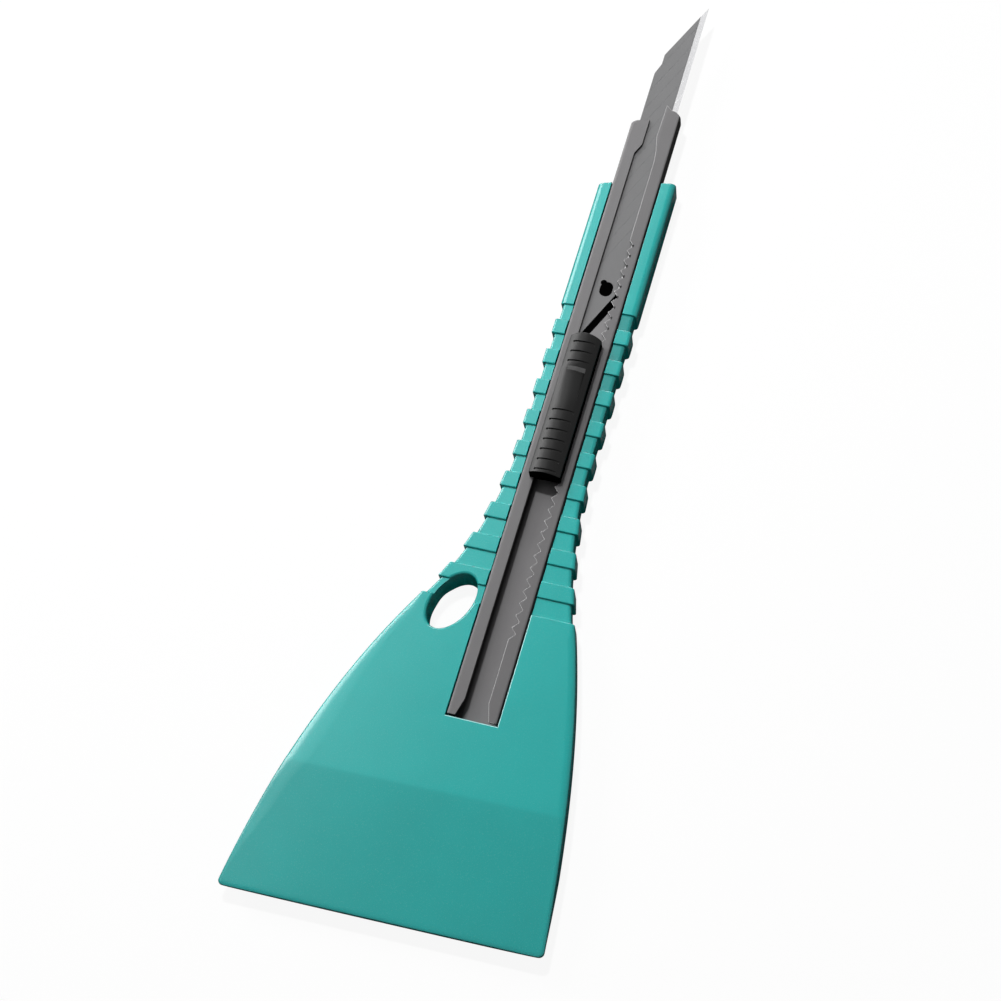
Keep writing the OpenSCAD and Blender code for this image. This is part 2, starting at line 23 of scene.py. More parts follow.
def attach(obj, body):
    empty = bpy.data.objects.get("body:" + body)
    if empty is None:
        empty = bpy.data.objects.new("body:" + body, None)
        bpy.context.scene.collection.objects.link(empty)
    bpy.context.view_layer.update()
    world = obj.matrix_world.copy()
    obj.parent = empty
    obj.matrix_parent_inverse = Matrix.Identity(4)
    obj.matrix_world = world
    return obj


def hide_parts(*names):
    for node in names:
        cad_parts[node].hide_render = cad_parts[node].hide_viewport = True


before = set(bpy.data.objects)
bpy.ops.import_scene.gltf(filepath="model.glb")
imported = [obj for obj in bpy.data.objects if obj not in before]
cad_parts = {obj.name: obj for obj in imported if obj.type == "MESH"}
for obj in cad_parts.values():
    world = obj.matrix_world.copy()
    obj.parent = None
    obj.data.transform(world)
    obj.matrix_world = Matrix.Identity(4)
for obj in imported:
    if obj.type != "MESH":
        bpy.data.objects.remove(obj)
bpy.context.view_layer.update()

Colour = tuple[float, float, float]
Place = tuple[float, float, float]
Point = tuple[float, float]
Mesh = bmesh.types.BMesh
Vert = bmesh.types.BMVert
Object = bpy.types.Object
Material = bpy.types.Material

LOG = logging.getLogger("blade_scraper")
METRES = 0.001
TINY = 0.0001
EVEN = (1.0, 1.0, 1.0)
NOISE = (0.3, 0.7)
CREASE_Y = -17.7
CREASE_SLANT = 0.03
SEAT_HALF_W = 6.3
SLOT_LEFT = 2.85
NOTCH_PITCH = 3.13
FIRST_NOTCH_Y = 22.8


class Body(Enum):
    """CAD body that a piece rides on."""

    HANDLE = "handle"
    SLIDE = "slide"


class Slot(Enum):
    """Material slot of the record that a piece takes its finish from."""

    TURQUOISE = "turquoise_plastic"
    GUIDE = "guide_steel"
    BLADE = "blade_steel"
    PLATE = "plate_steel"
    BLACK = "black_plastic"
    CARRIER = "carrier_plastic"
    SPRING = "spring_steel"


class Cut(Enum):
    """How a cutter changes the shape that it meets."""

    AWAY = "DIFFERENCE"
    JOIN = "UNION"


class Shows(Enum):
    """Whether a lamp lights faces or is mirrored in them."""

    LIGHT = "light"
    GLOSS = "gloss"


def about(middle: float, spread: float) -> Point:
    """Range round a middle."""
    return (middle - spread, middle + spread)


def spaced(start: float, stop: float, count: int) -> list[float]:
    """Evenly spaced places, both ends included."""
    return [start + (stop - start) * i / (count - 1) for i in range(count)]


def smooth_step(value: float, low: float, high: float) -> float:
    """Share of the way from low to high, eased at both ends.

    Args:
        value: Place to look at.
        low: Place where the share is 0.
        high: Place where the share is 1. It may lie below the other.

    Returns:
        Share from 0 to 1.
    """
    share = min(1.0, max(0.0, (value - low) / (high - low)))
    return share * share * (3 - 2 * share)


def between(points: list[Point], place: float) -> float:
    """Value at a place on a line of straight runs.

    Args:
        points: Places in rising order, each with its value.
        place: Place to look at.

    Returns:
        Value there, and the end value past either end.
    """
    if place <= points[0][0]:
        return points[0][1]
    for (a, value_a), (b, value_b) in zip(points, points[1:]):
        if place <= b:
            return value_a + (value_b - value_a) * (place - a) / (b - a)
    return points[-1][1]


def flare(y: float, top: Place, low: Place) -> float:
    """Smooth curve between two ends, each a place, a half width and a slope.

    Args:
        y: Place along the tool.
        top: Place, half width and slope at one end.
        low: Place, half width and slope at the other end.

    Returns:
        Half width at y.
    """
    run = low[0] - top[0]
    t = (y - top[0]) / run
    value = top[1] * (2 * t**3 - 3 * t**2 + 1) + low[1] * (3 * t**2 - 2 * t**3)
    return value + run * (top[2] * (t**3 - 2 * t**2 + t) + low[2] * (t**3 - t**2))


def arc(start: float, whole: float, steps: int) -> list[Point]:
    """Cosines and sines of even steps through an angle.

    Args:
        start: First angle, in degrees.
        whole: Angle from the first to the last, in degrees.
        steps: Number of steps.

    Returns:
        Cosine and sine at each step, both ends included.
    """
    turns = [math.radians(start + whole * i / steps) for i in range(steps + 1)]
    return [(math.cos(turn), math.sin(turn)) for turn in turns]


def quarter(centre: Point, radii: Point, start: float, steps: int) -> list[Point]:
    """Quarter of an ellipse with two radii, anticlockwise from the start angle."""
    return [(centre[0] + radii[0] * cos, centre[1] + radii[1] * sin) for cos, sin in arc(start, 90, steps)]


def circle(centre: Point, radii: Point, z: float, steps: int) -> list[Vector]:
    """Level loop round an ellipse with two radii."""
    loop = arc(0, 360, steps)[:-1]
    return [Vector((centre[0] + radii[0] * cos, centre[1] + radii[1] * sin, z)) for cos, sin in loop]


def only_verts(parts: list[object]) -> list[Vert]:
    """Points among the parts of a shape."""
    return [part for part in parts if isinstance(part, Vert)]


def shaped_grid(columns: int, rows: int, place: Callable[[int, int], Vector]) -> Mesh:
    """Grid whose points are moved to their places on a surface.

    Args:
        columns: Points in a row.
        rows: Points in a column.
        place: Gives the place of the point at a column and a row.

    Returns:
        The moved grid.
    """
    bm = bmesh.new()
    bmesh.ops.create_grid(bm, x_segments=columns - 1, y_segments=rows - 1, size=0.5)
    for vert in bm.verts:
        column = round((vert.co.x + 0.5) * (columns - 1))
        row = round((vert.co.y + 0.5) * (rows - 1))
        vert.co = place(column, row)
    return bm


def close_ends(bm: Mesh) -> Mesh:
    """Fills the open ends of a shape and turns all its faces outwards.

    Args:
        bm: Shape with open ends.

    Returns:
        The same shape, closed.
    """
    bmesh.ops.holes_fill(bm, edges=[edge for edge in bm.edges if edge.is_boundary], sides=0)
    bmesh.ops.recalc_face_normals(bm, faces=bm.faces)
    return bm


def skin_over(rings: list[list[Vector]]) -> Mesh:
    """Closed skin over rings with equal numbers of points.

    Args:
        rings: Rings in order, each a loop of points.

    Returns:
        A closed shape, its ends filled.
    """
    count = len(rings[0])
    bm = shaped_grid(count + 1, len(rings), lambda column, row: rings[row][column % count])
    bmesh.ops.remove_doubles(bm, verts=bm.verts, dist=TINY)
    return close_ends(bm)


def prism(outline: list[Vector], along: Vector) -> Mesh:
    """Closed prism over a flat outline.

    Args:
        outline: Corners of the outline in order.
        along: From the outline to the far end.

    Returns:
        A closed shape.
    """
    bm = bmesh.new()
    base = bm.faces.new([bm.verts.new(corner) for corner in outline])
    grown = bmesh.ops.extrude_face_region(bm, geom=[base])["geom"]
    bmesh.ops.translate(bm, verts=only_verts(grown), vec=along)
    bmesh.ops.recalc_face_normals(bm, faces=bm.faces)
    return bm


def block(low: Place, high: Place) -> Mesh:
    """Closed box between two corners, for a cutter or a hidden inner part.

    Args:
        low: Lowest corner.
        high: Highest corner.

    Returns:
        A closed shape.
    """
    bm = bmesh.new()
    middle = (Vector(low) + Vector(high)) / 2
    size = Matrix.Diagonal((Vector(high) - Vector(low)).to_4d())
    bmesh.ops.create_cube(bm, size=1, matrix=Matrix.Translation(middle) @ size)
    return bm


def as_object(bm: Mesh, name: str) -> Object:
    """Object that holds the shape, linked to the scene.

    Args:
        bm: Shape to hold. It is freed.
        name: Name of the object and its mesh.

    Returns:
        The new object, at the origin.
    """
    mesh = bpy.data.meshes.new(name)
    bm.to_mesh(mesh)
    bm.free()
    made = bpy.data.objects.new(name, mesh)
    bpy.context.scene.collection.objects.link(made)
    return made


def carved(bm: Mesh, cutters: list[Mesh], how: Cut = Cut.AWAY) -> Mesh:
    """Shape with closed cutters taken away from it or joined to it.

    Args:
        bm: Closed shape. It is freed.
        cutters: Closed shapes. They are freed.
        how: What happens where they meet.

    Returns:
        The new shape.
    """
    base = as_object(bm, "carving")
    tools = [as_object(cutter, "cutter") for cutter in cutters]
    for tool in tools:
        step = base.modifiers.new("cut", "BOOLEAN")
        step.operation = how.value
        step.solver = "EXACT"
        step.object = tool
    result = bmesh.new()
    result.from_object(base, bpy.context.evaluated_depsgraph_get())
    for used in [base, *tools]:
        old = used.data
        bpy.data.objects.remove(used)
        bpy.data.meshes.remove(old)
    return result


def even_out(made: Object) -> None:
    """Keeps flat faces flat to the eye beside small roundings."""
    step = made.modifiers.new("flat_faces", "WEIGHTED_NORMAL")
    step.keep_sharp = True


def soften(made: Object, width: float, angle: float) -> None:
    """Rounds the sharp edges of a piece with two faces each.

    Args:
        made: Piece to round.
        width: Width of the rounding, in millimetres.
        angle: Least angle of an edge that is rounded, in degrees.
    """
    step = made.modifiers.new("edges", "BEVEL")
    step.width = width * METRES
    step.segments = 2
    step.limit_method = "ANGLE"
    step.angle_limit = math.radians(angle)
    step.use_clamp_overlap = True
    step.harden_normals = False


@dataclass(frozen=True)
class Value:
    """Output of a node, as a value that sums and other nodes take up."""

    tree: NodeTree
    socket: bpy.types.NodeSocket

    def maths(self, kind: str, other: Value | float) -> Value:
        """This value and another one under an operation, as Blender names it."""
        return self.tree.add("ShaderNodeMath", {0: self, 1: other}, operation=kind)

    def __add__(self, other: Value | float) -> Value:
        """Sum of two values."""
        return self.maths("ADD", other)

    def __mul__(self, other: Value | float) -> Value:
        """Product of two values, which is where two masks overlap."""
        return self.maths("MULTIPLY", other)

    def __or__(self, other: Value) -> Value:
        """Larger of two values, which is two masks together."""
        return self.maths("MAXIMUM", other)

    def __invert__(self) -> Value:
        """Mask turned round, 1 where it was 0."""
        return self.ranged((0, 1), (1, 0))

    def ranged(self, source: Point, target: Point) -> Value:
        """Value moved from one range to another, held at both ends.

        Args:
            source: Range that it comes from.
            target: Range that it goes to.

        Returns:
            The new value.
        """
        names = ("From Min", "From Max", "To Min", "To Max")
        inputs = {"Value": self, **dict(zip(names, (*source, *target)))}
        return self.tree.add("ShaderNodeMapRange", inputs)

    def zone(self, low: float, high: float, blur: float) -> Value:
        """Mask that is 1 between two values and 0 outside them.

        Args:
            low: Lower end of the zone.
            high: Upper end of the zone.
            blur: Half width of each soft end.

        Returns:
            The mask.
        """
        up = self.ranged(about(low, blur), (0, 1))
        down = self.ranged(about(high, blur), (1, 0))
        return up * down


class NodeTree:
    """Node tree of a material or of the world."""

    def __init__(self, owner: Material | bpy.types.World) -> None:
        """Starts with an empty tree.

        Args:
            owner: Material or world that the tree belongs to.
        """
        self.owner = owner
        owner.use_nodes = True
        self.tree = owner.node_tree
        self.tree.nodes.clear()

    def add(self, kind: str, inputs: dict, output: str | int = 0, **settings: object) -> Value:
        """Adds a node.

        Args:
            kind: Class name of the node.
            inputs: Values of the tree or fixed ones for its inputs, by their names or numbers.
            output: Name or number of the output that is kept.
            settings: Settings of the node by their names.

        Returns:
            The output.
        """
        node = self.tree.nodes.new(kind)
        for key, setting in settings.items():
            setattr(node, key, setting)
        for key, source in inputs.items():
            if isinstance(source, Value):
                self.tree.links.new(source.socket, node.inputs[key])
            else:
                node.inputs[key].default_value = source
        return Value(self, node.outputs[output])

    def mixed(self, share: Value, a: Value, b: Value) -> Value:
        """Mix of two shaders, with a where the share is 0 and b where it is 1."""
        return self.add("ShaderNodeMixShader", {0: share, 1: a, 2: b})

    def end(self, kind: str, shader: Value) -> None:
        """Ends the tree with an output node that shows a shader."""
        node = self.tree.nodes.new(kind)
        self.tree.links.new(shader.socket, node.inputs["Surface"])


class NodeSheet(NodeTree):
    """Node tree of one of the tool's materials."""

    def stretched(self, scale: Place) -> Value:
        """Object coordinates in millimetres, stretched along the axes.

        Args:
            scale: Factor for each axis.

        Returns:
            The coordinates.
        """
        place = self.add("ShaderNodeTexCoord", {}, "Object")
        factors = [factor / METRES for factor in scale]
        return self.add("ShaderNodeMapping", {"Vector": place, "Scale": factors})

    def axes(self) -> list[Value]:
        """Object coordinates X, Y and Z, in millimetres."""
        return [self.add("ShaderNodeSeparateXYZ", {0: self.stretched(EVEN)}, name) for name in "XYZ"]

    def noise(self, scale: Place, grain: float, detail: float) -> Value:
        """Noise with values round 0.5.

        Args:
            scale: Factor that stretches it along each axis.
            grain: Size of a grain, in millimetres.
            detail: Octaves of finer grain.

        Returns:
            The noise.
        """
        inputs = {"Vector": self.stretched(scale), "Scale": 1 / grain, "Detail": detail}
        return self.add("ShaderNodeTexNoise", inputs)

    def tinted(self, colour: Value | Colour, factor: Value) -> Value:
        """Colour made lighter or darker by a factor."""
        return self.add("ShaderNodeVectorMath", {0: colour, "Scale": factor}, operation="SCALE")

    def blended(self, share: Value, a: Value, b: Colour) -> Value:
        """Mix of two colours, with b where the share is 1."""
        return self.add("ShaderNodeMixRGB", {"Fac": share, "Color1": a, "Color2": (*b, 1)})

    def finished(self, height: Value, depth: float, inputs: dict) -> Material:
        """Ends the tree with a shader that has a fine relief.

        Args:
            height: Height of the relief, from 0 to 1.
            depth: Depth of the relief, in millimetres.
            inputs: What goes into the other inputs of the shader.

        Returns:
            The material.
        """
        relief = {"Height": height, "Strength": 1, "Distance": depth * METRES}
        shader = {**inputs, "Normal": self.add("ShaderNodeBump", relief)}
        self.end("ShaderNodeOutputMaterial", self.add("ShaderNodeBsdfPrincipled", shader))
        return self.owner


@dataclass(frozen=True)
class MouldedPlastic:
    """Moulded plastic with a spark-eroded grain and slightly uneven colour."""

    colour: Colour
    roughness: float
    gloss: float = 0.4
    grain: float = 0.22
    depth: float = 0.0012
    mottle: float = 0.03
    mottle_size: float = 14.0
    uneven: float = 0.04

    def tint(self, sheet: NodeSheet, colour: Value) -> Value:
        """Changes the colour in zones. The plain plastic has none."""
        return colour

    def build(self, name: str) -> Material:
        """Makes the material.

        Args:
            name: Its name.

        Returns:
            The material.
        """
        sheet = NodeSheet(bpy.data.materials.new(name))
        broad = sheet.noise(EVEN, self.mottle_size, detail=2).ranged(NOISE, about(1, self.mottle))
        fine = sheet.noise(EVEN, self.grain, detail=3)
        inputs = {
            "Base Color": self.tint(sheet, sheet.tinted(self.colour, broad)),
            "Roughness": fine.ranged(NOISE, about(self.roughness, self.uneven)),
            "Specular IOR Level": self.gloss,
        }
        return sheet.finished(fine, self.depth, inputs)


@dataclass(frozen=True)
class ScraperPlastic(MouldedPlastic):
    """Plastic of the moulding, with painted shade on its slope and in its right hollows and a painted
    highlight along the seat's rim.
    """

    blur: float = 0.02
    crease_blur: float = 0.5
    # Painted shade: factor that darkens the slope below the crease.
    slope_shade: float = 0.91
    # Painted shade in the right hollows beside the slide: zone, blur and greatest share.
    hollow_x: float = 9.6
    hollow_y: Point = (57.0, 100.0)
    hollow_z: Point = (6.6, 7.1)
    hollow_blur: float = 0.05
    hollow_shade: float = 0.32
    # Painted highlight along the seat's rim: width, end, heights and colour.
    rim_highlight_w: float = 0.2
    rim_highlight_end_y: float = 28.4
    rim_z: Point = (6.9, 7.0)
    pale: Colour = (0.4, 0.8, 0.78)

    def tint(self, sheet: NodeSheet, colour: Value) -> Value:
        """Paints shade on the slope below the crease and in the hollows beside the slide, and paints a
        highlight on the rim.

        Args:
            sheet: Nodes of the material.
            colour: Colour before.

        Returns:
            The new colour.
        """
        across, along, height = sheet.axes()
        # Painted shade on the slope below the crease.
        slanted = along + across * -CREASE_SLANT
        crease = slanted.ranged(about(CREASE_Y, self.crease_blur), (self.slope_shade, 1))
        # Painted shade in the right hollows, stronger towards the slide.
        hollow = height.zone(*self.hollow_z, self.hollow_blur)
        hollow = hollow * across.zone(SEAT_HALF_W, self.hollow_x, self.blur)
        hollow = hollow * along.ranged(self.hollow_y, (0, self.hollow_shade))
        # Painted highlight along the seat's right and rear rim.
        rim_x = SEAT_HALF_W + self.rim_highlight_w
        right = across.zone(SEAT_HALF_W, rim_x, self.blur) * along.zone(0, self.rim_highlight_end_y, self.blur)
        rear = across.zone(-SEAT_HALF_W, rim_x, self.blur) * along.zone(-self.rim_highlight_w, 0, self.blur)
        rim = (right | rear) * height.ranged(self.rim_z, (0, 1))
        return sheet.blended(rim, sheet.tinted(sheet.tinted(colour, crease), ~hollow), self.pale)


@dataclass(frozen=True)
class SlidePlastic(MouldedPlastic):
    """Black plastic of the cap, with a painted highlight on the ramp in front of the thumb rest."""

    # Zone and strength of the painted highlight on the ramp.
    ramp_x: Point = (-2.2, 2.3)
    ramp_y: Point = (92.1, 93.0)
    ramp_share: Point = (0.3, 1.0)
    blur: float = 0.05
    ramp_highlight: Colour = (0.13, 0.13, 0.13)

    def tint(self, sheet: NodeSheet, colour: Value) -> Value:
        """Paints a highlight on the ramp, stronger towards its right end.

        Args:
            sheet: Nodes of the material.
            colour: Colour before.

        Returns:
            The new colour.
        """
        across, along, _ = sheet.axes()
        # Painted highlight on the ramp, stronger towards its right end.
        ramp = across.zone(*self.ramp_x, self.blur) * along.zone(*self.ramp_y, self.blur)
        return sheet.blended(ramp * across.ranged(self.ramp_x, self.ramp_share), colour, self.ramp_highlight)


@dataclass(frozen=True)
class RolledSteel:
    """Dull rolled sheet with streaks along the tool."""

    colour: Colour
    roughness: float
    metal: float = 0.3
    gloss: float = 0.2
    streak: float = 0.12
    stretch: Place = (1.0, 0.02, 1.0)
    cloud: float = 9.0
    both: Point = (0.6, 1.4)
    contrast: float = 0.035
    uneven: float = 0.06
    depth: float = 0.0006

    def tint(self, sheet: NodeSheet, colour: Value) -> Value:
        """Changes the colour in zones. The plain sheet has none."""
        return colour

    def shine(self, sheet: NodeSheet, streaks: Value) -> dict:
        """Metal and roughness for the shader."""
        rough = streaks.ranged(NOISE, about(self.roughness, self.uneven))
        return {"Metallic": self.metal, "Roughness": rough}

    def build(self, name: str) -> Material:
        """Makes the material.

        Args:
            name: Its name.

        Returns:
            The material.
        """
        sheet = NodeSheet(bpy.data.materials.new(name))
        streaks = sheet.noise(self.stretch, self.streak, detail=3)
        both = streaks + sheet.noise(EVEN, self.cloud, detail=2)
        factor = both.ranged(self.both, about(1, self.contrast))
        inputs = {
            "Base Color": self.tint(sheet, sheet.tinted(self.colour, factor)),
            "Specular IOR Level": self.gloss,
            **self.shine(sheet, streaks),
        }
        return sheet.finished(streaks, self.depth, inputs)


@dataclass(frozen=True)
class GuideSteel(RolledSteel):
    """Sheet of the guide, with painted shade inside, on its walls, on the floor beside the left lip and
    along some edges, lips painted lighter towards the nose, and painted highlights along the right lip's
    cut edge and the left fold.
    """

    blur: float = 0.01
    soft: float = 0.05
    floor_z: float = 4.15
    rim_z: Point = (7.4, 7.494)
    rim_blur: float = 0.004
    face_z: Point = (7.1, 7.2)
    bend_z: float = 7.0
    half_z: Point = (5.0, 6.0)
    inner_x: float = 5.62
    outer_x: float = 5.98
    # Painted shade lines: on the left lip's cut edge, beside the left slot edge and along the right seam
    # with the moulding.
    left_cut_shade_w: float = 0.2
    left_shade_w: float = 0.12
    left_shade_end: Point = (160.0, 160.6)
    right_shade_w: float = 0.18
    # Painted highlight lines: on the right lip's cut edge and on the left fold.
    right_highlight_end: float = 5.22
    fold_highlight_w: float = 0.1
    fold_highlight_share: float = 0.6
    line_blur: float = 0.03
    # Painted shade at the roots of the notches.
    root_x: Point = (3.45, 4.2)
    root_y: Point = (105.0, 133.5)
    root_blur: float = 0.5
    root_half: Point = (0.3, 0.45)
    # Painted light: the lips grow lighter towards the nose. The right lip is darker.
    lip_y: Point = (20.0, 120.0)
    lip_light_tones: Point = (0.82, 0.88)
    right_lip_x: Point = (2.0, 2.6)
    right_lip_tones: Point = (1.0, 0.9)
    # Painted shadow of the left lip on the floor beside it; the rest of the floor is lighter.
    floor_x: Point = (-3.2, -1.9)
    floor_shadow_tones: Point = (0.08, 1.06)
    past: float = 9.0
    # Colours of the painted shade and of the painted highlight lines.
    painted_shade: Colour = (0.008, 0.008, 0.008)
    painted_highlight: Colour = (0.45, 0.45, 0.45)

    def lines(self, across: Value, along: Value, height: Value) -> tuple[Value, Value]:
        """Masks of the painted shade and highlight lines along the cut edges, the notch roots and the
        folds.

        Args:
            across: Coordinate X.
            along: Coordinate Y.
            height: Coordinate Z.

        Returns:
            Mask of the painted shade lines and mask of the painted highlight lines.
        """
        rim = height.zone(*self.rim_z, self.rim_blur)
        face = height.ranged(self.face_z, (0, 1))
        notch = (along + -FIRST_NOTCH_Y).maths("PINGPONG", NOTCH_PITCH / 2)
        # Painted shade at the notch roots.
        root_shade = notch.ranged(self.root_half, (1, 0)) * across.zone(*self.root_x, self.soft)
        root_shade = root_shade * along.zone(*self.root_y, self.root_blur)
        # Painted shade on the left lip's cut edge, beside the left slot edge and along the right seam.
        left_cut_shade = rim * across.zone(-SLOT_LEFT - self.left_cut_shade_w, 0, self.blur)
        left_edge_shade = across.zone(-SLOT_LEFT - self.left_shade_w, 0, self.line_blur)
        left_edge_shade = left_edge_shade * along.ranged(self.left_shade_end, (1, 0))
        right_seam_shade = across.zone(self.outer_x - self.right_shade_w, self.past, self.soft)
        # Painted highlight on the right lip's cut edge, left out at the notch roots.
        right_cut_highlight = rim * across.zone(0, self.right_highlight_end, self.blur) * ~root_shade
        # Painted highlight on the left fold.
        bend = height.zone(self.bend_z, self.past, self.soft)
        fold = bend * across.zone(-self.outer_x, -self.outer_x + self.fold_highlight_w, self.line_blur)
        return left_cut_shade | face * (left_edge_shade | right_seam_shade) | face * root_shade, right_cut_highlight | fold * self.fold_highlight_share

    def tint(self, sheet: NodeSheet, colour: Value) -> Value:
        """Paints shade inside the channel, on the walls and on the floor beside the left lip, paints the
        lips lighter towards the nose, and draws the painted shade and highlight lines along the edges.

        Args:
            sheet: Nodes of the material.
            colour: Colour before.

        Returns:
            The new colour.
        """
        across, along, height = sheet.axes()
        # Painted shade inside the channel and on the outer walls.
        deep = height.zone(self.floor_z, self.rim_z[0], self.blur)
        inside = across.zone(-self.inner_x, self.inner_x, self.blur)
        walls = ~across.zone(-self.outer_x, self.outer_x, self.soft)
        shade_lines, highlight_lines = self.lines(across, along, height)
        upper = height.ranged(self.half_z, (0, 1))
        # Painted light: lips lighter towards the nose, the right lip darker.
        lips = upper * along.ranged(self.lip_y, self.lip_light_tones)
        lips = lips * across.ranged(self.right_lip_x, self.right_lip_tones)
        # Painted shadow of the left lip on the floor.
        floor = ~upper * across.ranged(self.floor_x, self.floor_shadow_tones)
        colour = sheet.tinted(colour, lips + floor)
        # All painted shade together.
        dim = deep * inside | deep * walls | shade_lines
        return sheet.blended(highlight_lines, sheet.blended(dim, colour, self.painted_shade), self.painted_highlight)


@dataclass(frozen=True)
class GroundSteel(RolledSteel):
    """Blade steel, with a bright ground bevel and a darker line beside it."""

    stretch: Place = (0.02, 1.0, 1.0)
    cloud: float = 7.0
    uneven: float = 0.05
    depth: float = 0.0005
    bevel_x: float = 3.4
    bevel_blur: float = 0.05
    bevel_colour: Colour = (0.68, 0.68, 0.69)
    bevel_roughness: float = 0.16
    line_w: float = 0.5
    line_tone: float = 0.86

    def over_bevel(self, sheet: NodeSheet, values: Point) -> Value:
        """Value that changes from the face to the bevel."""
        return sheet.axes()[0].ranged(about(self.bevel_x, self.bevel_blur), values)

    def tint(self, sheet: NodeSheet, colour: Value) -> Value:
        """Darkens the face beside the bevel and gives the bevel its colour."""
        line = sheet.axes()[0].ranged((self.bevel_x - self.line_w, self.bevel_x), (1, self.line_tone))
        return sheet.blended(self.over_bevel(sheet, (0, 1)), sheet.tinted(colour, line), self.bevel_colour)

    def shine(self, sheet: NodeSheet, streaks: Value) -> dict:
        """Metal and roughness for the shader, both brighter on the bevel."""
        even = self.over_bevel(sheet, (self.roughness, self.bevel_roughness))
        rough = even + streaks.ranged(NOISE, about(0, self.uneven))
        return {"Metallic": self.over_bevel(sheet, (self.metal, 1)), "Roughness": rough}


@dataclass
class Piece:
    """One piece of the tool: its name, body, slot, finish and the CAD node that it stands for."""

    name: str
    body: Body
    slot: Slot
    node: str
    finish: MouldedPlastic | RolledSteel
    sharp_angle: float = 38.0

    def shape(self) -> Mesh:
        """Shape of the piece, in millimetres."""
        raise NotImplementedError

    def refine(self, made: Object) -> None:
        """Adds modifiers to the piece. Most pieces only keep flat faces flat."""
        even_out(made)

    def build(self) -> Object:
        """Shapes and dresses the piece.

        Returns:
            The finished piece, riding on its body.
        """
        bm = self.shape()
        bmesh.ops.scale(bm, vec=(METRES, METRES, METRES), verts=bm.verts)
        for face in bm.faces:
            face.smooth = True
        made = as_object(bm, self.name)
        made.data.set_sharp_from_angle(angle=math.radians(self.sharp_angle))
        made.data.materials.append(self.finish.build(self.slot.value))
        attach(made, self.body.value)
        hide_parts(self.node)
        self.refine(made)
        return made


@dataclass(frozen=True)
class Side:
    """Outline of one side of the moulding, as half widths.

    The side leaves the straight grip at flare_y. Shoulder and edge hold a half width and a slope.
    """

    flare_y: float
    grip_w: float
    shoulder: Point
    edge: Point


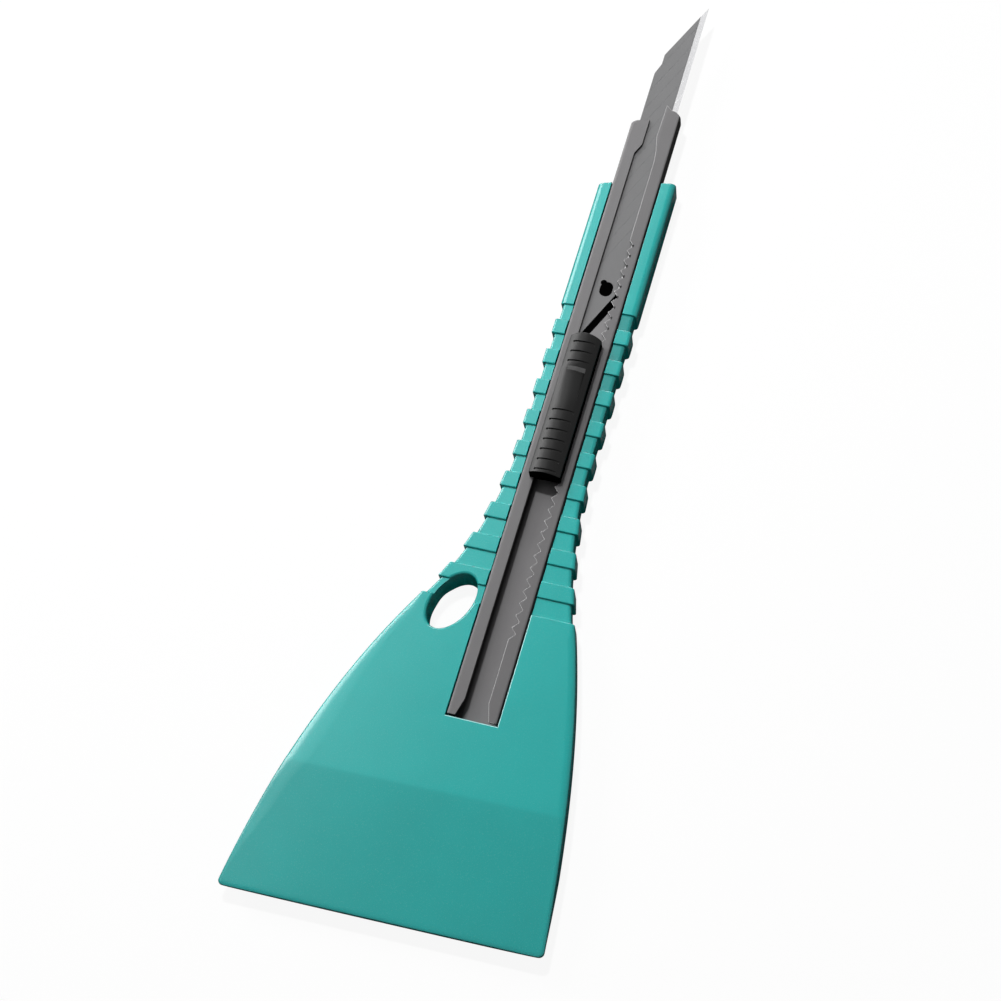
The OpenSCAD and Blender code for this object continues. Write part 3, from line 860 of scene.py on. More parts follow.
@dataclass
class HandleMoulding(Piece):
    """Turquoise moulding: nose, banded grip, scraper, seat of the guide and hanging hole."""

    name: str = "handle_moulding"
    body: Body = Body.HANDLE
    slot: Slot = Slot.TURQUOISE
    node: str = "scraper_body"
    finish: MouldedPlastic = ScraperPlastic((0.007, 0.365, 0.345), 0.25)
    left: Side = Side(76.0, 9.7, (20.6, -0.57), (45.4, -0.14))
    right: Side = Side(70.0, 10.05, (16.75, -0.31), (30.15, -0.08))
    height: float = 7.5
    nose_y: float = 151.6
    nose_slant: float = 0.18
    nose_round: float = 1.2
    nose_end_round: float = 0.5
    nose_lines: Point = (140.0, 128.0)
    nose_gap: float = 1.5
    nose_turn: float = 6.0
    nose_steps: int = 5
    band_round: float = 0.45
    back_round: float = 1.4
    band_count: int = 9
    band_pitch: float = 8.8
    band_len: float = 4.1
    first_band_y: float = 103.6
    band_rise: float = 0.65
    band_step: float = 0.8
    step_shape: tuple[Point, ...] = (
        (0.26, 0.0), (0.13, 0.03), (0.04, 0.14), (0.0, 0.36), (0.0, 0.8), (-0.04, 0.94), (-0.14, 1.0)
    )
    between_steps: Place = (0.25, 0.5, 0.75)
    edge_y: float = -48.5
    edge_fall: float = 2.2
    edge_t: float = 1.8
    edge_drop: float = 0.3
    thin_share: float = 0.45
    inset_drop: float = 0.2
    upper_lines: int = 28
    lower_lines: int = 20
    crease_gap: float = 0.25
    plate_gap: float = 0.8
    back_flat_y: float = -30.0
    back_flat_half_w: float = 10.0
    back_widens: Point = (60.0, 15.0)
    side_round: float = 1.6
    side_drop: float = 0.7
    side_fade: Point = (-23.7, -13.7)
    side_top: float = 5.0
    left_soft: float = 1.6
    right_soft: float = 0.4
    margin_w: float = 3.6
    margin_drop: float = 0.4
    margin_top: Point = (22.0, -14.0)
    margin_end: Point = (-47.0, -24.0)
    tilt_x: float = -6.4
    tilt_drop: float = 0.22
    corner_round: float = 1.3
    corner_steps: int = 6
    hole_centre: Place = (-13.0, 27.7, 0.0)
    hole_size: Point = (9.4, 15.6)
    hole_lean: float = 22.0
    hole_steps: int = 72
    hole_round: float = 0.7
    seat_z: float = 3.5
    seat_len: float = 171.6
    seat_round: float = 0.16
    mouth_run: float = 3.7
    tab_low: Place = (-2.15, 139.85, 2.15)
    tab_high: Place = (2.15, 145.15, 4.5)
    front_steps: int = 8
    back_steps: int = 9

    @property
    def shoulder_y(self) -> float:
        """Place where the grip ends and the scraper begins."""
        return self.first_band_y - self.band_count * self.band_pitch + self.band_len

    def half_width(self, y: float, side: Side) -> float:
        """Half width of one side over the bands.

        Args:
            y: Place along the tool.
            side: Outline of the side.

        Returns:
            Half width at y.
        """
        if y >= side.flare_y:
            return side.grip_w
        middle = (self.shoulder_y, *side.shoulder)
        if y >= self.shoulder_y:
            return flare(y, (side.flare_y, side.grip_w, 0.0), middle)
        return flare(y, middle, (self.edge_y, *side.edge))

    def back_wave(self, y: float) -> float | None:
        """Share of the hollow at the back, where the bands are a soft wave.

        Args:
            y: Place along the tool.

        Returns:
            Share from 0 to 1, or None beyond the bands.
        """
        middle = self.first_band_y + self.band_len / 2
        if not self.shoulder_y - self.band_len / 2 < y < middle + self.band_pitch:
            return None
        return 0.5 - 0.5 * math.cos(2 * math.pi * (y - middle) / self.band_pitch)

    def section(self, y: float, inset: float, drop: float, front: Point) -> list[Point]:
        """Cross-section of the moulding.

        Args:
            y: Place along the tool.
            inset: How far the sides are drawn in.
            drop: How far front and back are drawn in.
            front: Radii of the front edges, across and in depth.

        Returns:
            Loop of points in X and Z.
        """
        left = -self.half_width(y, self.left)
        right = self.half_width(y, self.right)
        slope = max(0.0, (CREASE_Y - y) / (CREASE_Y - self.edge_y))
        rise = max(0.0, (self.back_flat_y - y) / (self.back_flat_y - self.edge_y))
        full = self.height - self.edge_fall * slope
        wave = self.back_wave(y)
        back_in = inset if wave is None else self.band_step * wave
        low = (self.height - self.edge_fall - self.edge_t) * rise
        low += drop if wave is None else self.band_rise * wave
        tall = min(self.back_round, (full - low) / 2)
        spare = self.back_flat_half_w + self.back_round
        wide = smooth_step(y, *self.back_widens)
        back_l = self.back_round + wide * (-left - spare)
        back_r = self.back_round + wide * (right - spare)
        top = full - drop
        margin = smooth_step(y, *self.margin_top) * smooth_step(y, *self.margin_end)
        soft = (front[0] * self.left_soft + margin * self.margin_w, front[1] + margin * self.margin_drop)
        turned = (front[0] + self.right_soft, front[1] + self.right_soft / 2)
        tilt = self.tilt_drop * smooth_step(y, self.shoulder_y, self.left.flare_y)
        return [
            *quarter((right - inset - turned[0], top - turned[1]), turned, 0, self.front_steps),
            (self.tilt_x, top),
            *quarter((left + inset + soft[0], top - tilt - soft[1]), soft, 90, self.front_steps),
            *quarter((left + back_in + back_l, low + tall), (back_l, tall), 180, self.back_steps),
            *quarter((right - inset - back_r, low + tall), (back_r, tall), 270, self.back_steps),
        ]

    def ring(self, y: float, slant: float, inset: float, drop: float, front: Point) -> list[Vector]:
        """Section set at y, slanted across the tool."""
        return [Vector((x, y + slant * x, z)) for x, z in self.section(y, inset, drop, front)]

    def grip_ring(self, y: float, share: float, radius: float) -> list[Vector]:
        """Ring of the grip, from a band at share 0 to a hollow at share 1."""
        return self.ring(y, 0, self.band_step * share, self.band_rise * share, (radius, radius))

    def plate_ring(self, y: float, slant: float, inset: float) -> list[Vector]:
        """Ring of the scraper, with the wide front rounding above the crease.

        Args:
            y: Place along the tool.
            slant: Run along the tool for each millimetre across.
            inset: How far the sides are drawn in.

        Returns:
            Loop of points.
        """
        fade = smooth_step(y, *self.side_fade)
        top = 1 - smooth_step(y, self.shoulder_y - self.side_top, self.shoulder_y)
        wide = self.band_round + fade * top * (self.side_round - self.band_round)
        deep = min(self.edge_drop + (self.side_drop - self.edge_drop) * fade, self.edge_t * self.thin_share)
        return self.ring(y, slant, inset, inset * self.inset_drop, (wide, deep))

    def nose_rings(self) -> list[list[Vector]]:
        """Rings of the nose, from its rounded end to its lower step."""
        radii = (self.nose_round, self.nose_round)
        rings = []
        for cos, sin in arc(0, 90, self.nose_steps):
            y = self.nose_y - self.nose_end_round * (1 - cos)
            inset = self.nose_end_round * (1 - sin)
            rings.append(self.ring(y, self.nose_slant, inset, inset, radii))
        low = self.first_band_y + self.band_pitch
        for y in (*self.nose_lines, low + self.nose_gap):
            slant = self.nose_slant * smooth_step(y, low + self.nose_turn, self.nose_y)
            rings.append(self.ring(y, slant, 0, 0, radii))
        return rings + self.step_rings(low, 1, self.nose_round)

    def step_rings(self, y: float, way: int, radius: float) -> list[list[Vector]]:
        """Rings of one rounded step.

        Args:
            y: Place of the step.
            way: 1 from a band down to a hollow, -1 from a hollow up to a band.
            radius: Rounding of the front edges on the band.

        Returns:
            Rings in falling order of y.
        """
        rings = []
        for dy, share in self.step_shape[::way]:
            front = radius + share * (self.band_round - radius)
            rings.append(self.grip_ring(y + way * dy, share, front))
        return rings

    def grip_rings(self) -> list[list[Vector]]:
        """Rings of all the bands and of the hollows between them."""
        rings = []
        hollow = self.band_pitch - self.band_len
        for i in range(self.band_count):
            low = self.first_band_y - i * self.band_pitch
            rings += self.step_rings(low + self.band_len, -1, self.band_round)
            for share in reversed(self.between_steps):
                rings.append(self.grip_ring(low + self.band_len * share, 0, self.band_round))
            rings += self.step_rings(low, 1, self.band_round)
            for share in self.between_steps:
                rings.append(self.grip_ring(low - hollow * share, 1, self.band_round))
        return rings + self.step_rings(self.shoulder_y, -1, self.band_round)

    def plate_rings(self) -> list[list[Vector]]:
        """Rings of the scraper, from the shoulder to the rounded edge."""
        rings = []
        start = self.shoulder_y - self.plate_gap
        for y in spaced(start, CREASE_Y + self.crease_gap, self.upper_lines):
            rings.append(self.plate_ring(y, CREASE_SLANT * (start - y) / (start - CREASE_Y), 0))
        for y in spaced(CREASE_Y - self.crease_gap, self.edge_y + self.corner_round, self.lower_lines):
            rings.append(self.plate_ring(y, CREASE_SLANT, 0))
        for cos, sin in arc(0, 90, self.corner_steps)[1:]:
            y = self.edge_y + self.corner_round * (1 - sin)
            rings.append(self.plate_ring(y, CREASE_SLANT, self.corner_round * (1 - cos)))
        return rings

    def mouth(self, radius: float) -> list[Point]:
        """Flare that rounds the rim of an opening in the front face.

        Args:
            radius: Radius of the rim's rounding.

        Returns:
            Steps of outward offset and height, from the wall up.
        """
        rim = self.height - radius
        turns = arc(0, 90, self.corner_steps)[:-1]
        steps = [(radius * (1 - cos), rim + radius * sin) for cos, sin in turns]
        return [*steps, (steps[-1][0] + self.mouth_run, self.height + 1)]

    def seat_cutter(self) -> Mesh:
        """Shape of the guide's seat, with a rounded rim."""
        right = [(SEAT_HALF_W + out, z) for out, z in self.mouth(self.seat_round)]
        side = [(SEAT_HALF_W, self.seat_z), *right]
        loop = side + [(-x, z) for x, z in reversed(side)]
        return prism([Vector((x, 0, z)) for x, z in loop], Vector((0, self.seat_len, 0)))

    def hole_cutter(self) -> Mesh:
        """Shape of the hanging hole, with rounded rims at both faces."""
        front = self.mouth(self.hole_round)
        back = [(out, self.height - z) for out, z in reversed(front)]
        turn = Matrix.Rotation(math.radians(-self.hole_lean), 4, "Z")
        rings = []
        for out, z in back + front:
            radii = (self.hole_size[0] / 2 + out, self.hole_size[1] / 2 + out)
            ring = circle((0.0, 0.0), radii, z, self.hole_steps)
            rings.append([turn @ point + Vector(self.hole_centre) for point in ring])
        return skin_over(rings)

    def shape(self) -> Mesh:
        """Skin of the moulding with its seat, tab pocket and hole cut out."""
        skin = skin_over(self.nose_rings() + self.grip_rings() + self.plate_rings())
        return carved(skin, [self.seat_cutter(), block(self.tab_low, self.tab_high), self.hole_cutter()])


@dataclass
class BladeGuide(Piece):
    """Guide folded from one sheet: floor, two walls and two lips, with teeth along the right lip."""

    name: str = "folded_guide"
    body: Body = Body.HANDLE
    slot: Slot = Slot.GUIDE
    node: str = "blade_guide"
    finish: RolledSteel = GuideSteel((0.148, 0.145, 0.148), 0.6)
    half_w: float = 6.15
    base_z: float = 3.5
    height: float = 4.0
    sheet: float = 0.6
    bend: float = 0.7
    rear_y: float = 0.6
    right_slot: float = 2.75
    left_nose_slot: float = 1.55
    right_nose_slot: float = 1.5
    nose_slot_y: float = 163.4
    lead_len: float = 4.4
    lead_step: float = 1.2
    left_taper_len: float = 3.0
    right_taper_low: float = 5.0
    right_taper_mid: float = 1.7
    right_taper_top: float = 3.2
    right_taper_dent: float = 0.3
    tip_flare: float = 0.25
    tooth_count: int = 36
    tooth_depth: float = 1.2
    root_half: float = 0.12
    mouth_share: float = 0.94
    left_nose_y: float = 168.6
    right_nose_y: float = 172.6
    left_nose_round: float = 2.3
    right_nose_round: float = 2.9
    nose_rise: float = 4.6
    left_nose_rise: float = 0.575
    tab_y: float = 140.0
    tab_half_w: float = 2.0
    tab_len: float = 5.0
    tab_drop: float = 1.2
    fold_steps: int = 5
    lip_shares: tuple[float, ...] = (0.0, 0.2, 0.45, 0.65, 0.8, 0.92)
    floor_lines: tuple[float, ...] = (-5.0, -4.4, -3.85, -2.0, -1.55, 0.0, 1.5, 2.0, 3.25, 4.4, 5.0)
    cross_lines: Point = (13.0, 152.0)
    fan_shares: tuple[float, ...] = (0.25, 0.5, 0.75, 1.0)
    edge_round: float = 0.09
    near: float = 0.01

    @property
    def tip_y(self) -> float:
        """Place of the guide's tip."""
        return self.right_nose_y + self.nose_rise

    @property
    def hinge_y(self) -> float:
        """Place where the tab is bent down."""
        return self.tab_y + self.sheet / 2

    @property
    def floor_z(self) -> float:
        """Height of the middle of the floor's sheet."""
        return self.base_z + self.sheet / 2

    def left_edge(self) -> list[Point]:
        """Slot edge on the left, as places along the tool with distances from the middle."""
        return [
            (self.rear_y, SLOT_LEFT + self.lead_step),
            (self.rear_y + self.lead_len, SLOT_LEFT),
            (self.nose_slot_y - self.left_taper_len, SLOT_LEFT),
            (self.nose_slot_y, self.left_nose_slot),
        ]

    def right_edge(self) -> list[Point]:
        """Slot edge on the right with its teeth, given like the left one."""
        line = [
            (self.rear_y, self.right_slot + self.lead_step),
            (self.rear_y + self.lead_len, self.right_slot),
        ]
        mouth = NOTCH_PITCH / 2 * self.mouth_share
        root_x = self.right_slot + self.tooth_depth
        for i in range(self.tooth_count):
            y = FIRST_NOTCH_Y + i * NOTCH_PITCH
            line += [(y - mouth, self.right_slot), (y - self.root_half, root_x)]
            line += [(y + self.root_half, root_x), (y + mouth, self.right_slot)]
        return line + [
            (self.nose_slot_y - self.right_taper_low, self.right_slot),
            (self.nose_slot_y - self.right_taper_mid, self.right_slot - self.right_taper_dent),
            (self.nose_slot_y + self.right_taper_top, self.right_nose_slot),
            (self.tip_y, self.right_nose_slot + self.tip_flare),
        ]

    def nose_end(self, x: float) -> float:
        """Place where the shaped nose ends.

        Args:
            x: Place across the tool.

        Returns:
            Place along the tool.
        """
        left = (-1, self.left_nose_y, self.left_nose_round)
        right = (1, self.right_nose_y, self.right_nose_round)
        for way, y, radius in (left, right):
            past = way * x - (self.half_w - radius)
            if past > 0:
                return y + math.sqrt(max(0.0, radius**2 - past**2))
        top_left = self.left_nose_y + self.left_nose_round
        line = [
            (self.left_nose_round - self.half_w, top_left),
            (-self.left_nose_slot, top_left + self.left_nose_rise),
            (self.right_nose_slot, self.tip_y),
            (self.half_w - self.right_nose_round, self.right_nose_y + self.right_nose_round),
        ]
        return between(line, x)

    def profile(self, y: float) -> list[Point]:
        """Middle of the folded sheet, from the left slot edge round to the right one.

        Args:
            y: Place along the tool.

        Returns:
            Points in X and Z.
        """
        fold_x = self.half_w - self.bend
        low = self.base_z + self.bend
        high = self.base_z + self.height - self.bend
        radius = self.bend - self.sheet / 2
        left = between(self.left_edge(), y)
        right = between(self.right_edge(), y)
        radii = (radius, radius)
        return [
            *[(-left - (fold_x - left) * share, high + radius) for share in self.lip_shares],
            *quarter((-fold_x, high), radii, 90, self.fold_steps),
            *quarter((-fold_x, low), radii, 180, self.fold_steps),
            *[(x, low - radius) for x in self.floor_lines],
            *quarter((fold_x, low), radii, 270, self.fold_steps),
            *quarter((fold_x, high), radii, 0, self.fold_steps),
            *[(right + (fold_x - right) * share, high + radius) for share in reversed(self.lip_shares)],
        ]

    def lance_tab(self, bm: Mesh) -> None:
        """Opens the window in the floor and bends its tab down.

        Args:
            bm: The sheet.
        """
        top_z = self.floor_z + self.near
        window = []
        for face in bm.faces:
            x, y, z = face.calc_center_median()
            if self.hinge_y < y < self.tab_y + self.tab_len and abs(x) < self.tab_half_w and z < top_z:
                window.append(face)
        bmesh.ops.delete(bm, geom=window, context="FACES")

        def on_hinge(point: Vector) -> bool:
            """Whether a point lies on the tab's hinge."""
            on_row = abs(point.y - self.hinge_y) < self.near and point.z < top_z
            return on_row and abs(point.x) < self.tab_half_w + self.near

        rim = [edge for edge in bm.edges if edge.is_boundary]
        hinge = [edge for edge in rim if all(on_hinge(vert.co) for vert in edge.verts)]
        grown = bmesh.ops.extrude_edge_only(bm, edges=hinge)["geom"]
        down = Vector((0, 0, -self.tab_drop - self.sheet / 2))
        bmesh.ops.translate(bm, verts=only_verts(grown), vec=down)

    def shape(self) -> Mesh:
        """Middle of the folded sheet, with its tab bent down."""
        fan_y = self.nose_slot_y + self.right_taper_top
        stops = [y for y, _ in self.left_edge() + self.right_edge() if y < fan_y]
        stops += [*self.cross_lines, self.hinge_y, self.tab_y + self.tab_len, fan_y]
        rows = [(y, 0.0) for y in sorted(set(stops))]
        rows += [(fan_y, share) for share in self.fan_shares]
        profiles = [self.profile(y + share * (self.tip_y - y)) for y, share in rows]

        def place(column: int, row: int) -> Vector:
            """Point of the sheet, with the last rows fanned out to the nose."""
            x, z = profiles[row][column]
            y, share = rows[row]
            return Vector((x, y + share * (self.nose_end(x) - y), z))

        bm = shaped_grid(len(profiles[0]), len(rows), place)
        self.lance_tab(bm)
        return bm

    def refine(self, made: Object) -> None:
        """Gives the sheet its thickness and rounds its cut edges."""
        fold = made.modifiers.new("sheet", "SOLIDIFY")
        fold.thickness = self.sheet * METRES
        fold.offset = 0
        soften(made, self.edge_round, angle=50)
        even_out(made)


@dataclass
class SnapBlade(Piece):
    """Snap-off blade: ground bevel, score lines, the step of a snapped segment and the tail's keyhole."""

    name: str = "snap_off_blade"
    body: Body = Body.SLIDE
    slot: Slot = Slot.BLADE
    node: str = "snap_blade"
    finish: RolledSteel = GroundSteel((0.122, 0.122, 0.124), 0.55)
    sharp_angle: float = 4.0
    left_x: float = -4.2
    edge_x: float = 4.8
    base_z: float = 6.45
    thickness: float = 0.4
    edge_share: float = 0.05
    bevel_w: float = 1.4
    tail_y: float = 121.4
    edge_len: float = 89.7
    lean: float = 23.9
    score_pitch: float = 6.4
    score_count: int = 11
    score_depth: float = 0.03
    score_w: float = 0.14
    snap_step: float = 1.15
    snap_step_len: float = 3.1
    hole_centre: Point = (0.45, 118.8)
    hole_size: Point = (3.3, 4.3)
    lobe_r: float = 0.8
    lobe_rise: float = 0.42
    hole_steps: int = 72
    cutter_h: float = 3.0
    near: float = 0.01

    @property
    def rise(self) -> float:
        """Run along the tool for each millimetre across, on tip, tail and score lines."""
        return 1 / math.tan(math.radians(self.lean))

    @property
    def notch_top_y(self) -> float:
        """Place where the tip's line meets the stepped spine."""
        width = self.edge_x - self.left_x
        return self.tail_y + self.edge_len - (width - self.snap_step) * self.rise

    def outline(self) -> list[Vector]:
        """Plan of the blade at its lower face."""
        top = self.notch_top_y
        step_x = self.left_x + self.snap_step
        corners = [
            (self.edge_x, self.tail_y + self.edge_len),
            (step_x, top),
            (step_x, top - self.snap_step_len),
            (self.left_x, top - self.score_pitch),
            (self.left_x, self.tail_y - (self.edge_x - self.left_x) * self.rise),
            (self.edge_x, self.tail_y),
        ]
        return [Vector((x, y, self.base_z)) for x, y in corners]

    def keyhole(self) -> list[Mesh]:
        """Cutters of the oval hole in the tail and of its small lobe."""
        x, y = self.hole_centre
        width, length = self.hole_size
        radius = width / 2
        oval = []
        for cos, sin in arc(0, 360, self.hole_steps)[:-1]:
            end_y = y + math.copysign(length / 2 - radius, sin)
            oval.append(Vector((x + radius * cos, end_y + radius * sin, self.base_z - 1)))
        middle = (x - width / 3, y + length * self.lobe_rise)
        lobe = circle(middle, (self.lobe_r, self.lobe_r), self.base_z - 1, self.hole_steps // 3)
        return [prism(loop, Vector((0, 0, self.cutter_h))) for loop in (oval, lobe)]

    def cut_line(self, bm: Mesh, point: Vector, normal: Vector) -> list[Vert]:
        """Cuts new edges along a plane.

        Args:
            bm: Shape to cut.
            point: A point on the plane.
            normal: The plane's normal.

        Returns:
            Points on the cut.
        """
        every = [*bm.verts, *bm.edges, *bm.faces]
        cut = bmesh.ops.bisect_plane(bm, geom=every, dist=TINY, plane_co=point, plane_no=normal)
        return only_verts(cut["geom_cut"])

    def shape(self) -> Mesh:
        """Blade with its keyhole, bevel and score lines."""
        bm = carved(prism(self.outline(), Vector((0, 0, self.thickness))), self.keyhole())
        top_z = self.base_z + self.thickness
        middle_z = self.base_z + self.thickness / 2
        self.cut_line(bm, Vector((self.edge_x - self.bevel_w, 0, 0)), Vector((1, 0, 0)))
        across = Vector((self.rise, -1, 0)).normalized()
        for i in range(self.score_count):
            start = Vector((self.left_x, self.notch_top_y - self.score_pitch * (i + 1), top_z))
            for side in (-0.5, 0.5):
                self.cut_line(bm, start + across * self.score_w * side, across)
            for vert in self.cut_line(bm, start, across):
                if vert.co.z > top_z - self.score_depth and vert.co.x < self.edge_x - self.near:
                    vert.co.z = top_z - self.score_depth
        for vert in bm.verts:
            if vert.co.x > self.edge_x - self.near / 10:
                vert.co.z = middle_z + (vert.co.z - middle_z) * self.edge_share
        bmesh.ops.triangulate(bm, faces=[face for face in bm.faces if len(face.verts) > 4])
        return bm

    def refine(self, made: Object) -> None:
        """Leaves the ground faces as sharp as they are."""


@dataclass
class TailPlate(Piece):
    """Steel plate behind the blade's tail, its slanted end along the tail."""

    name: str = "backing_plate"
    body: Body = Body.SLIDE
    slot: Slot = Slot.PLATE
    node: str = "tail_plate"
    finish: RolledSteel = RolledSteel((0.148, 0.145, 0.148), 0.55)
    half_w: float = 5.49
    rear_y: float = 92.49
    front_left_y: float = 93.49
    front_right_y: float = 118.27
    base_z: float = 6.45
    top_z: float = 6.84
    edge_round: float = 0.06

    def shape(self) -> Mesh:
        """Flat plate with one slanted end."""
        corners = [
            (-self.half_w, self.rear_y),
            (self.half_w, self.rear_y),
            (self.half_w, self.front_right_y),
            (-self.half_w, self.front_left_y),
        ]
        outline = [Vector((x, y, self.base_z)) for x, y in corners]
        return prism(outline, Vector((0, 0, self.top_z - self.base_z)))

    def refine(self, made: Object) -> None:
        """Rounds the plate's edges."""
        soften(made, self.edge_round, angle=30)
        even_out(made)


@dataclass
class ThumbSlide(Piece):
    """Black cap with a crowned top, grooves and a bare thumb rest, and the neck and pegs under it."""

    name: str = "thumb_cap"
    body: Body = Body.SLIDE
    slot: Slot = Slot.BLACK
    node: str = "thumb_slide"
    finish: MouldedPlastic = SlidePlastic((0.004, 0.004, 0.004), 0.33, gloss=0.16)
    sharp_angle: float = 30.0
    # Copy of the black plastic without reflection for the upright walls, which paints them dark like shade.
    walls: MouldedPlastic = MouldedPlastic((0.003, 0.003, 0.003), 0.6, gloss=0.0)
    shaded_walls_name: str = "black_plastic_shaded_walls"
    upright: float = 0.1
    half_w: float = 3.9
    rear_y: float = 63.1
    length: float = 39.7
    base_z: float = 7.55
    side_h: float = 2.7
    top_h: float = 3.9
    bow: float = 0.8
    bow_len: float = 1.7
    edge_round: float = 0.18
    left_edge_round: float = 0.05
    rear_grooves: int = 7
    front_grooves: int = 3
    groove_pitch: float = 2.77
    groove_w: float = 0.45
    groove_depth: float = 0.35
    groove_half_len: float = 2.7
    groove_end_share: float = 0.25
    rear_groove_inset: float = 0.8
    front_groove_inset: float = 2.7
    rest_inset: float = 9.7
    rest_len: float = 10.0
    rest_depth: float = 0.9
    rest_half_w: float = 2.35
    rest_ramp: float = 1.0
    rest_lines: int = 5
    rim_steps: int = 4
    wall: float = 0.06
    plain_lines: tuple[float, ...] = (3.3, 1.9, 1.3, 0.65)
    neck_low: Place = (-2.79, 64.5, 6.84)
    neck_high: Place = (2.69, 98.99, 7.75)
    peg_r: float = 1.1
    peg_y: Point = (70.14, 90.14)
    peg_z: Point = (4.16, 7.65)
    peg_steps: int = 36
    pocket_low: Place = (0.6, 66.61, 6.83)
    pocket_high: Place = (7.8, 91.67, 7.54)

    @property
    def front_y(self) -> float:
        """Place of the middle of the front end."""
        return self.rear_y + self.length

    @property
    def rest_ends(self) -> Point:
        """Rear and front end of the thumb rest."""
        front = self.front_y - self.rest_inset
        return (front - self.rest_len, front)

    def groove_places(self) -> list[float]:
        """Places of all the grooves along the tool."""
        rear = self.rear_y + self.rear_groove_inset
        front = self.front_y - self.front_groove_inset
        places = [rear + i * self.groove_pitch for i in range(self.rear_grooves)]
        return sorted(places + [front - i * self.groove_pitch for i in range(self.front_grooves)])

    def fall(self, x: float, rise: float) -> float:
        """How far an arc over the slide's width, with a given rise, lies below its middle at x."""
        radius = (self.half_w**2 + rise**2) / (2 * rise)
        return radius - math.sqrt(radius**2 - x**2)

    def rim_lines(self) -> list[float]:
        """Distances of the grid's lines from the slide's rim."""
        return [self.edge_round * (1 - cos) for cos, _ in arc(0, 90, self.rim_steps)]

    def columns(self) -> list[float]:
        """Places of the grid's lines across the slide."""
        half = [self.half_w - line for line in self.rim_lines()] + list(self.plain_lines)
        for end in (self.groove_half_len, self.rest_half_w):
            half += [end, end + self.wall]
        half.sort()
        return [-x for x in reversed(half)] + [0.0] + half

    def rows(self) -> list[float]:
        """Places of the grid's lines along the slide, with the front end taken as straight."""
        rim = self.rim_lines()
        lines = [self.rear_y + line for line in rim] + [self.front_y - line for line in rim]
        half = self.groove_w / 2
        for y in self.groove_places():
            lines += [y - half - self.wall, y - half, y, y + half, y + half + self.wall]
        rest_rear, rest_front = self.rest_ends
        lines += [*spaced(rest_rear, rest_front, self.rest_lines), rest_front - self.rest_ramp]
        return sorted(lines)

    def groove_drop(self, x: float, y: float) -> float:
        """Depth of the grooves, which end in a wall on both sides.

        Args:
            x: Place across the slide.
            y: Place along the slide.

        Returns:
            Depth there, 0 outside the grooves.
        """
        across = 1 - min(1.0, max(0.0, (abs(x) - self.groove_half_len) / self.wall))
        across *= between([(0.0, 1.0), (self.groove_half_len, self.groove_end_share)], x)
        away = min(abs(y - place) for place in self.groove_places()) - self.groove_w / 2
        return self.groove_depth * across * (1 - min(1.0, max(0.0, away / self.wall)))

    def height_at(self, x: float, y: float) -> float:
        """Height of the top, with its grooves, thumb rest and rounded rim.

        Args:
            x: Place across the slide.
            y: Place along the slide, with the front end taken as straight.

        Returns:
            Height in Z.
        """
        rest_rear, rest_front = self.rest_ends
        z = self.base_z + self.top_h - self.fall(x, self.top_h - self.side_h)
        if rest_rear < y < rest_front:
            deep = [(rest_rear, 0.0), (rest_front - self.rest_ramp, self.rest_depth), (rest_front, 0.0)]
            wide = [(-self.half_w, 0.0), (self.rest_half_w, 1.0), (self.rest_half_w + self.wall, 0.0)]
            z -= between(wide, x) * between(deep, y)
        r = self.edge_round if x > 0 else self.left_edge_round
        side = max(0.0, r - (self.half_w - abs(x)))
        end = max(0.0, r - min(y - self.rear_y, self.front_y - y))
        drop = r - math.sqrt(max(0.0, r**2 - side**2 - end**2))
        return z - self.groove_drop(x, y) - drop

    def cap(self) -> Mesh:
        """Closed cap: the shaped top, its side walls and a flat underside."""
        columns = self.columns()
        rows = self.rows()

        def place(column: int, row: int) -> Vector:
            """Point of the top, drawn back towards the bowed front end."""
            x = columns[column]
            y = rows[row]
            share = max(0.0, 1 - (self.front_y - y) / self.bow_len)
            return Vector((x, y - share * self.fall(x, self.bow), self.height_at(x, y)))

        bm = shaped_grid(len(columns), len(rows), place)
        rim = [edge for edge in bm.edges if edge.is_boundary]
        for vert in only_verts(bmesh.ops.extrude_edge_only(bm, edges=rim)["geom"]):
            vert.co.z = self.base_z
        return close_ends(bm)

    def shape(self) -> Mesh:
        """Cap with its neck and pegs, and the pocket of the lock spring."""
        under = [block(self.neck_low, self.neck_high)]
        low, high = self.peg_z
        for y in self.peg_y:
            foot = circle((-self.peg_r, y), (self.peg_r, self.peg_r), low, self.peg_steps)
            under.append(prism(foot, Vector((0, 0, high - low))))
        joined = carved(self.cap(), under, Cut.JOIN)
        return carved(joined, [block(self.pocket_low, self.pocket_high)])

    def refine(self, made: Object) -> None:
        """Gives the upright walls a copy of the black plastic without reflection, which paints them dark
        like shade.
        """
        made.data.materials.append(self.walls.build(self.shaded_walls_name))
        for face in made.data.polygons:
            if abs(face.normal.z) < self.upright:
                face.material_index = 1
        even_out(made)


@dataclass
class HeldInside:
    """CAD piece that lies inside the guide, kept as it is and dressed here."""

    node: str
    slot: Slot
    finish: MouldedPlastic | RolledSteel
    edge_round: float
    weld: float = 0.01

    def build(self) -> Object:
        """Gives the piece its material and softened edges.

        Returns:
            The CAD node.
        """
        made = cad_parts[self.node]
        made.data.materials.clear()
        made.data.materials.append(self.finish.build(self.slot.value))
        joined = made.modifiers.new("weld", "WELD")
        joined.merge_threshold = self.weld * METRES
        soften(made, self.edge_round, angle=40)
        return made


@dataclass(frozen=True)
class Lamp:
    """Soft lamp: its place and size in metres, and its light at the tool as a share of full white."""

    name: str
    place: Place
    size: Point
    level: float
    shows: Shows
    turn: float = 0.0


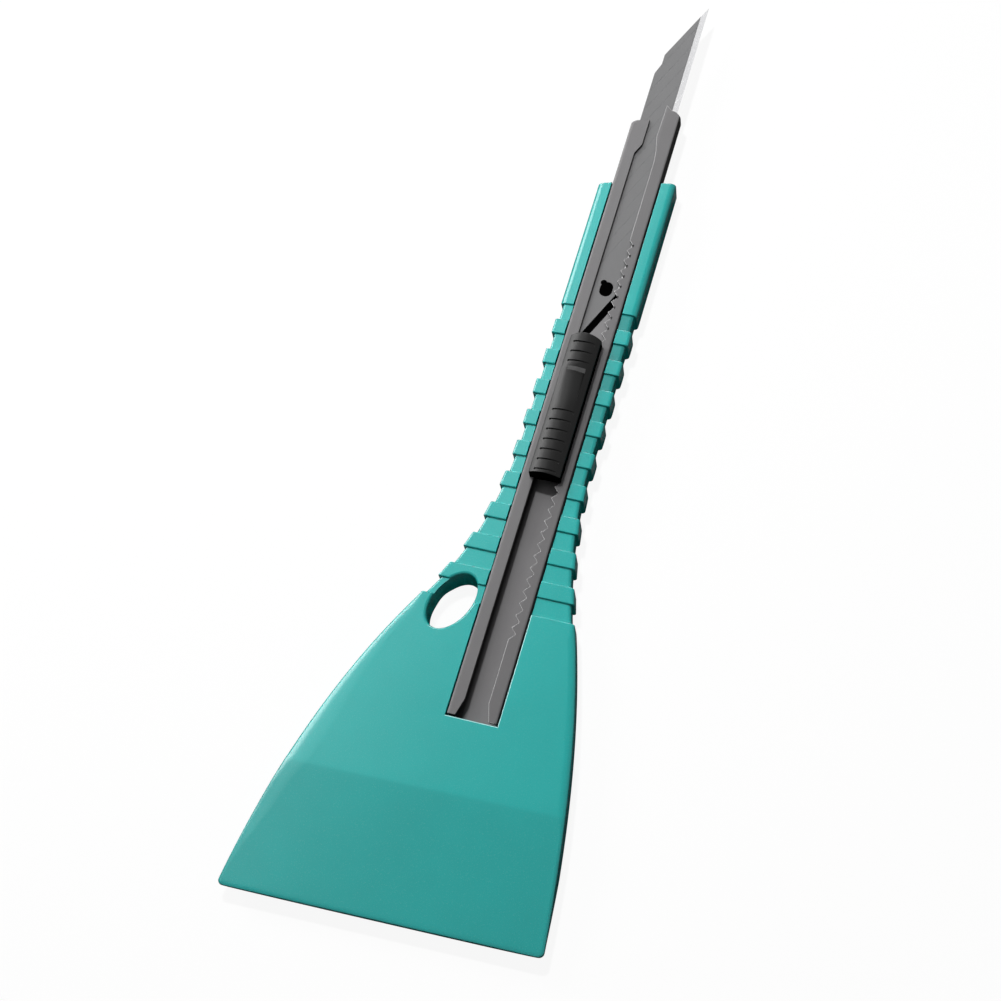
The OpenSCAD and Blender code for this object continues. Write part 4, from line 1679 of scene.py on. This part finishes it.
@dataclass
class Studio:
    """White surroundings, soft lamps, pale floor and the photograph's camera."""

    ambient: float = 0.07
    floor_half: float = 3.0
    floor_z: float = -0.05
    floor_white: float = 0.92
    floor_light: float = 0.12
    floor_mirrored: float = 0.15
    camera_place: Place = (94.84, -137.54, 433.7)
    camera_view: Place = (-0.21667, 0.40252, -0.8894)
    camera_up: Place = (-0.20223, 0.87277, 0.44426)
    focal_px: float = 2000.1
    image_px: float = 1001.0
    sensor: float = 36.0
    clip: float = 0.01
    aim: Place = (0.0, 0.07, 0.0)
    lamps: tuple[Lamp, ...] = (
        Lamp("key_lamp", (-0.12, 0.23, 0.55), (0.035, 0.035), 0.82, Shows.LIGHT),
        Lamp("left_fill", (-0.7, 0.4, 0.45), (0.3, 0.3), 0.34, Shows.LIGHT),
        Lamp("left_lamp", (-0.7, 0.45, 0.45), (0.5, 0.5), 1.1, Shows.GLOSS),
        Lamp("sheen_strip", (-0.287, 0.26, 0.6), (0.24, 0.9), 0.38, Shows.GLOSS, -11.4),
        Lamp("back_strip", (-0.2, 1.05, 0.3), (0.9, 0.25), 1.1, Shows.GLOSS),
    )

    def rays(self, tree: NodeTree, *names: str) -> Value:
        """Value that is 1 for the named kinds of rays."""
        kinds = [tree.add("ShaderNodeLightPath", {}, name) for name in names]
        return functools.reduce(operator.or_, kinds)

    def as_seen(self, tree: NodeTree, light: Value, seen: Value) -> Value:
        """Shader that gives light like one shader and is seen, directly or mirrored, like another."""
        shown = self.rays(tree, "Is Camera Ray", "Is Glossy Ray", "Is Transmission Ray")
        return tree.mixed(shown, light, seen)

    def surround(self) -> None:
        """Makes the world: white where it is seen, dimmer as light."""
        world = bpy.data.worlds.new("white_surroundings")
        tree = NodeTree(world)
        dim, seen = (
            tree.add("ShaderNodeBackground", {"Color": (1, 1, 1, 1), "Strength": strength})
            for strength in (self.ambient, 1)
        )
        tree.end("ShaderNodeOutputWorld", self.as_seen(tree, dim, seen))
        bpy.context.scene.world = world

    def floor_material(self) -> Material:
        """Pale floor that looks white and keeps the shadow, and that is clear from below."""
        tree = NodeTree(bpy.data.materials.new("pale_floor"))
        whites = (self.floor_light, 1 - self.floor_white, self.floor_mirrored)
        grey, dull, plain = (
            tree.add("ShaderNodeBsdfDiffuse", {"Color": (white, white, white, 1)}) for white in whites
        )
        glow = tree.add("ShaderNodeEmission", {"Strength": self.floor_white})
        pale = tree.add("ShaderNodeAddShader", {0: dull, 1: glow})
        mirrored = tree.mixed(self.rays(tree, "Is Glossy Ray"), pale, plain)
        below = tree.add("ShaderNodeNewGeometry", {}, "Backfacing")
        clear = tree.add("ShaderNodeBsdfTransparent", {})
        tree.end("ShaderNodeOutputMaterial", tree.mixed(below, self.as_seen(tree, grey, mirrored), clear))
        return tree.owner

    def lay_floor(self) -> None:
        """Lays the floor just under the flat back."""
        bm = bmesh.new()
        bmesh.ops.create_grid(bm, x_segments=1, y_segments=1, size=self.floor_half)
        bmesh.ops.translate(bm, verts=bm.verts, vec=Vector((0, 0, self.floor_z * METRES)))
        floor = as_object(bm, "floor")
        floor.data.materials.append(self.floor_material())

    def hang_lamp(self, lamp: Lamp) -> None:
        """Hangs a lamp that points at the middle of the tool.

        Args:
            lamp: The lamp.
        """
        light = bpy.data.lights.new(lamp.name, "AREA")
        light.shape = "RECTANGLE"
        light.size, light.size_y = lamp.size
        way = Vector(self.aim) - Vector(lamp.place)
        light.energy = lamp.level * math.pi**2 * way.length_squared
        made = bpy.data.objects.new(lamp.name, light)
        back = -way.normalized()
        side = Vector((0, 1, 0)).cross(back).normalized()
        turn = Matrix((side, back.cross(side), back)).transposed().to_4x4()
        spin = Matrix.Rotation(math.radians(lamp.turn), 4, "Z")
        made.matrix_world = Matrix.Translation(Vector(lamp.place)) @ turn @ spin
        made.visible_glossy = lamp.shows is Shows.GLOSS
        made.visible_diffuse = lamp.shows is Shows.LIGHT
        bpy.context.scene.collection.objects.link(made)

    def set_camera(self) -> None:
        """Sets the camera where the photograph was taken from."""
        lens = bpy.data.cameras.new("photo_camera")
        lens.sensor_width = self.sensor
        lens.lens = self.sensor * self.focal_px / self.image_px
        lens.clip_start = self.clip
        view = Vector(self.camera_view).normalized()
        right = view.cross(Vector(self.camera_up)).normalized()
        camera = bpy.data.objects.new("photo_camera", lens)
        turn = Matrix((right, right.cross(view), -view)).transposed().to_4x4()
        camera.matrix_world = Matrix.Translation(Vector(self.camera_place) * METRES) @ turn
        bpy.context.scene.collection.objects.link(camera)
        bpy.context.scene.camera = camera

    def build(self) -> None:
        """Makes everything round the tool."""
        bpy.context.scene.view_settings.view_transform = "Standard"
        self.surround()
        self.lay_floor()
        for lamp in self.lamps:
            self.hang_lamp(lamp)
        self.set_camera()


def main() -> None:
    """Builds every piece, dresses it and sets up the studio."""
    logging.basicConfig(level=logging.INFO, format="%(name)s: %(message)s")
    pieces = [
        HandleMoulding(),
        BladeGuide(),
        SnapBlade(),
        TailPlate(),
        ThumbSlide(),
        HeldInside("blade_carrier", Slot.CARRIER, MouldedPlastic((0.001, 0.001, 0.001), 0.6, 0.0), 0.15),
        HeldInside("lock_spring", Slot.SPRING, RolledSteel((0.35, 0.35, 0.36), 0.35, 0.9), 0.04),
    ]
    for piece in pieces:
        made = piece.build()
        LOG.info("%s: %d faces in slot %s", made.name, len(made.data.polygons), piece.slot.value)
    Studio().build()


if __name__ == "__main__":
    main()
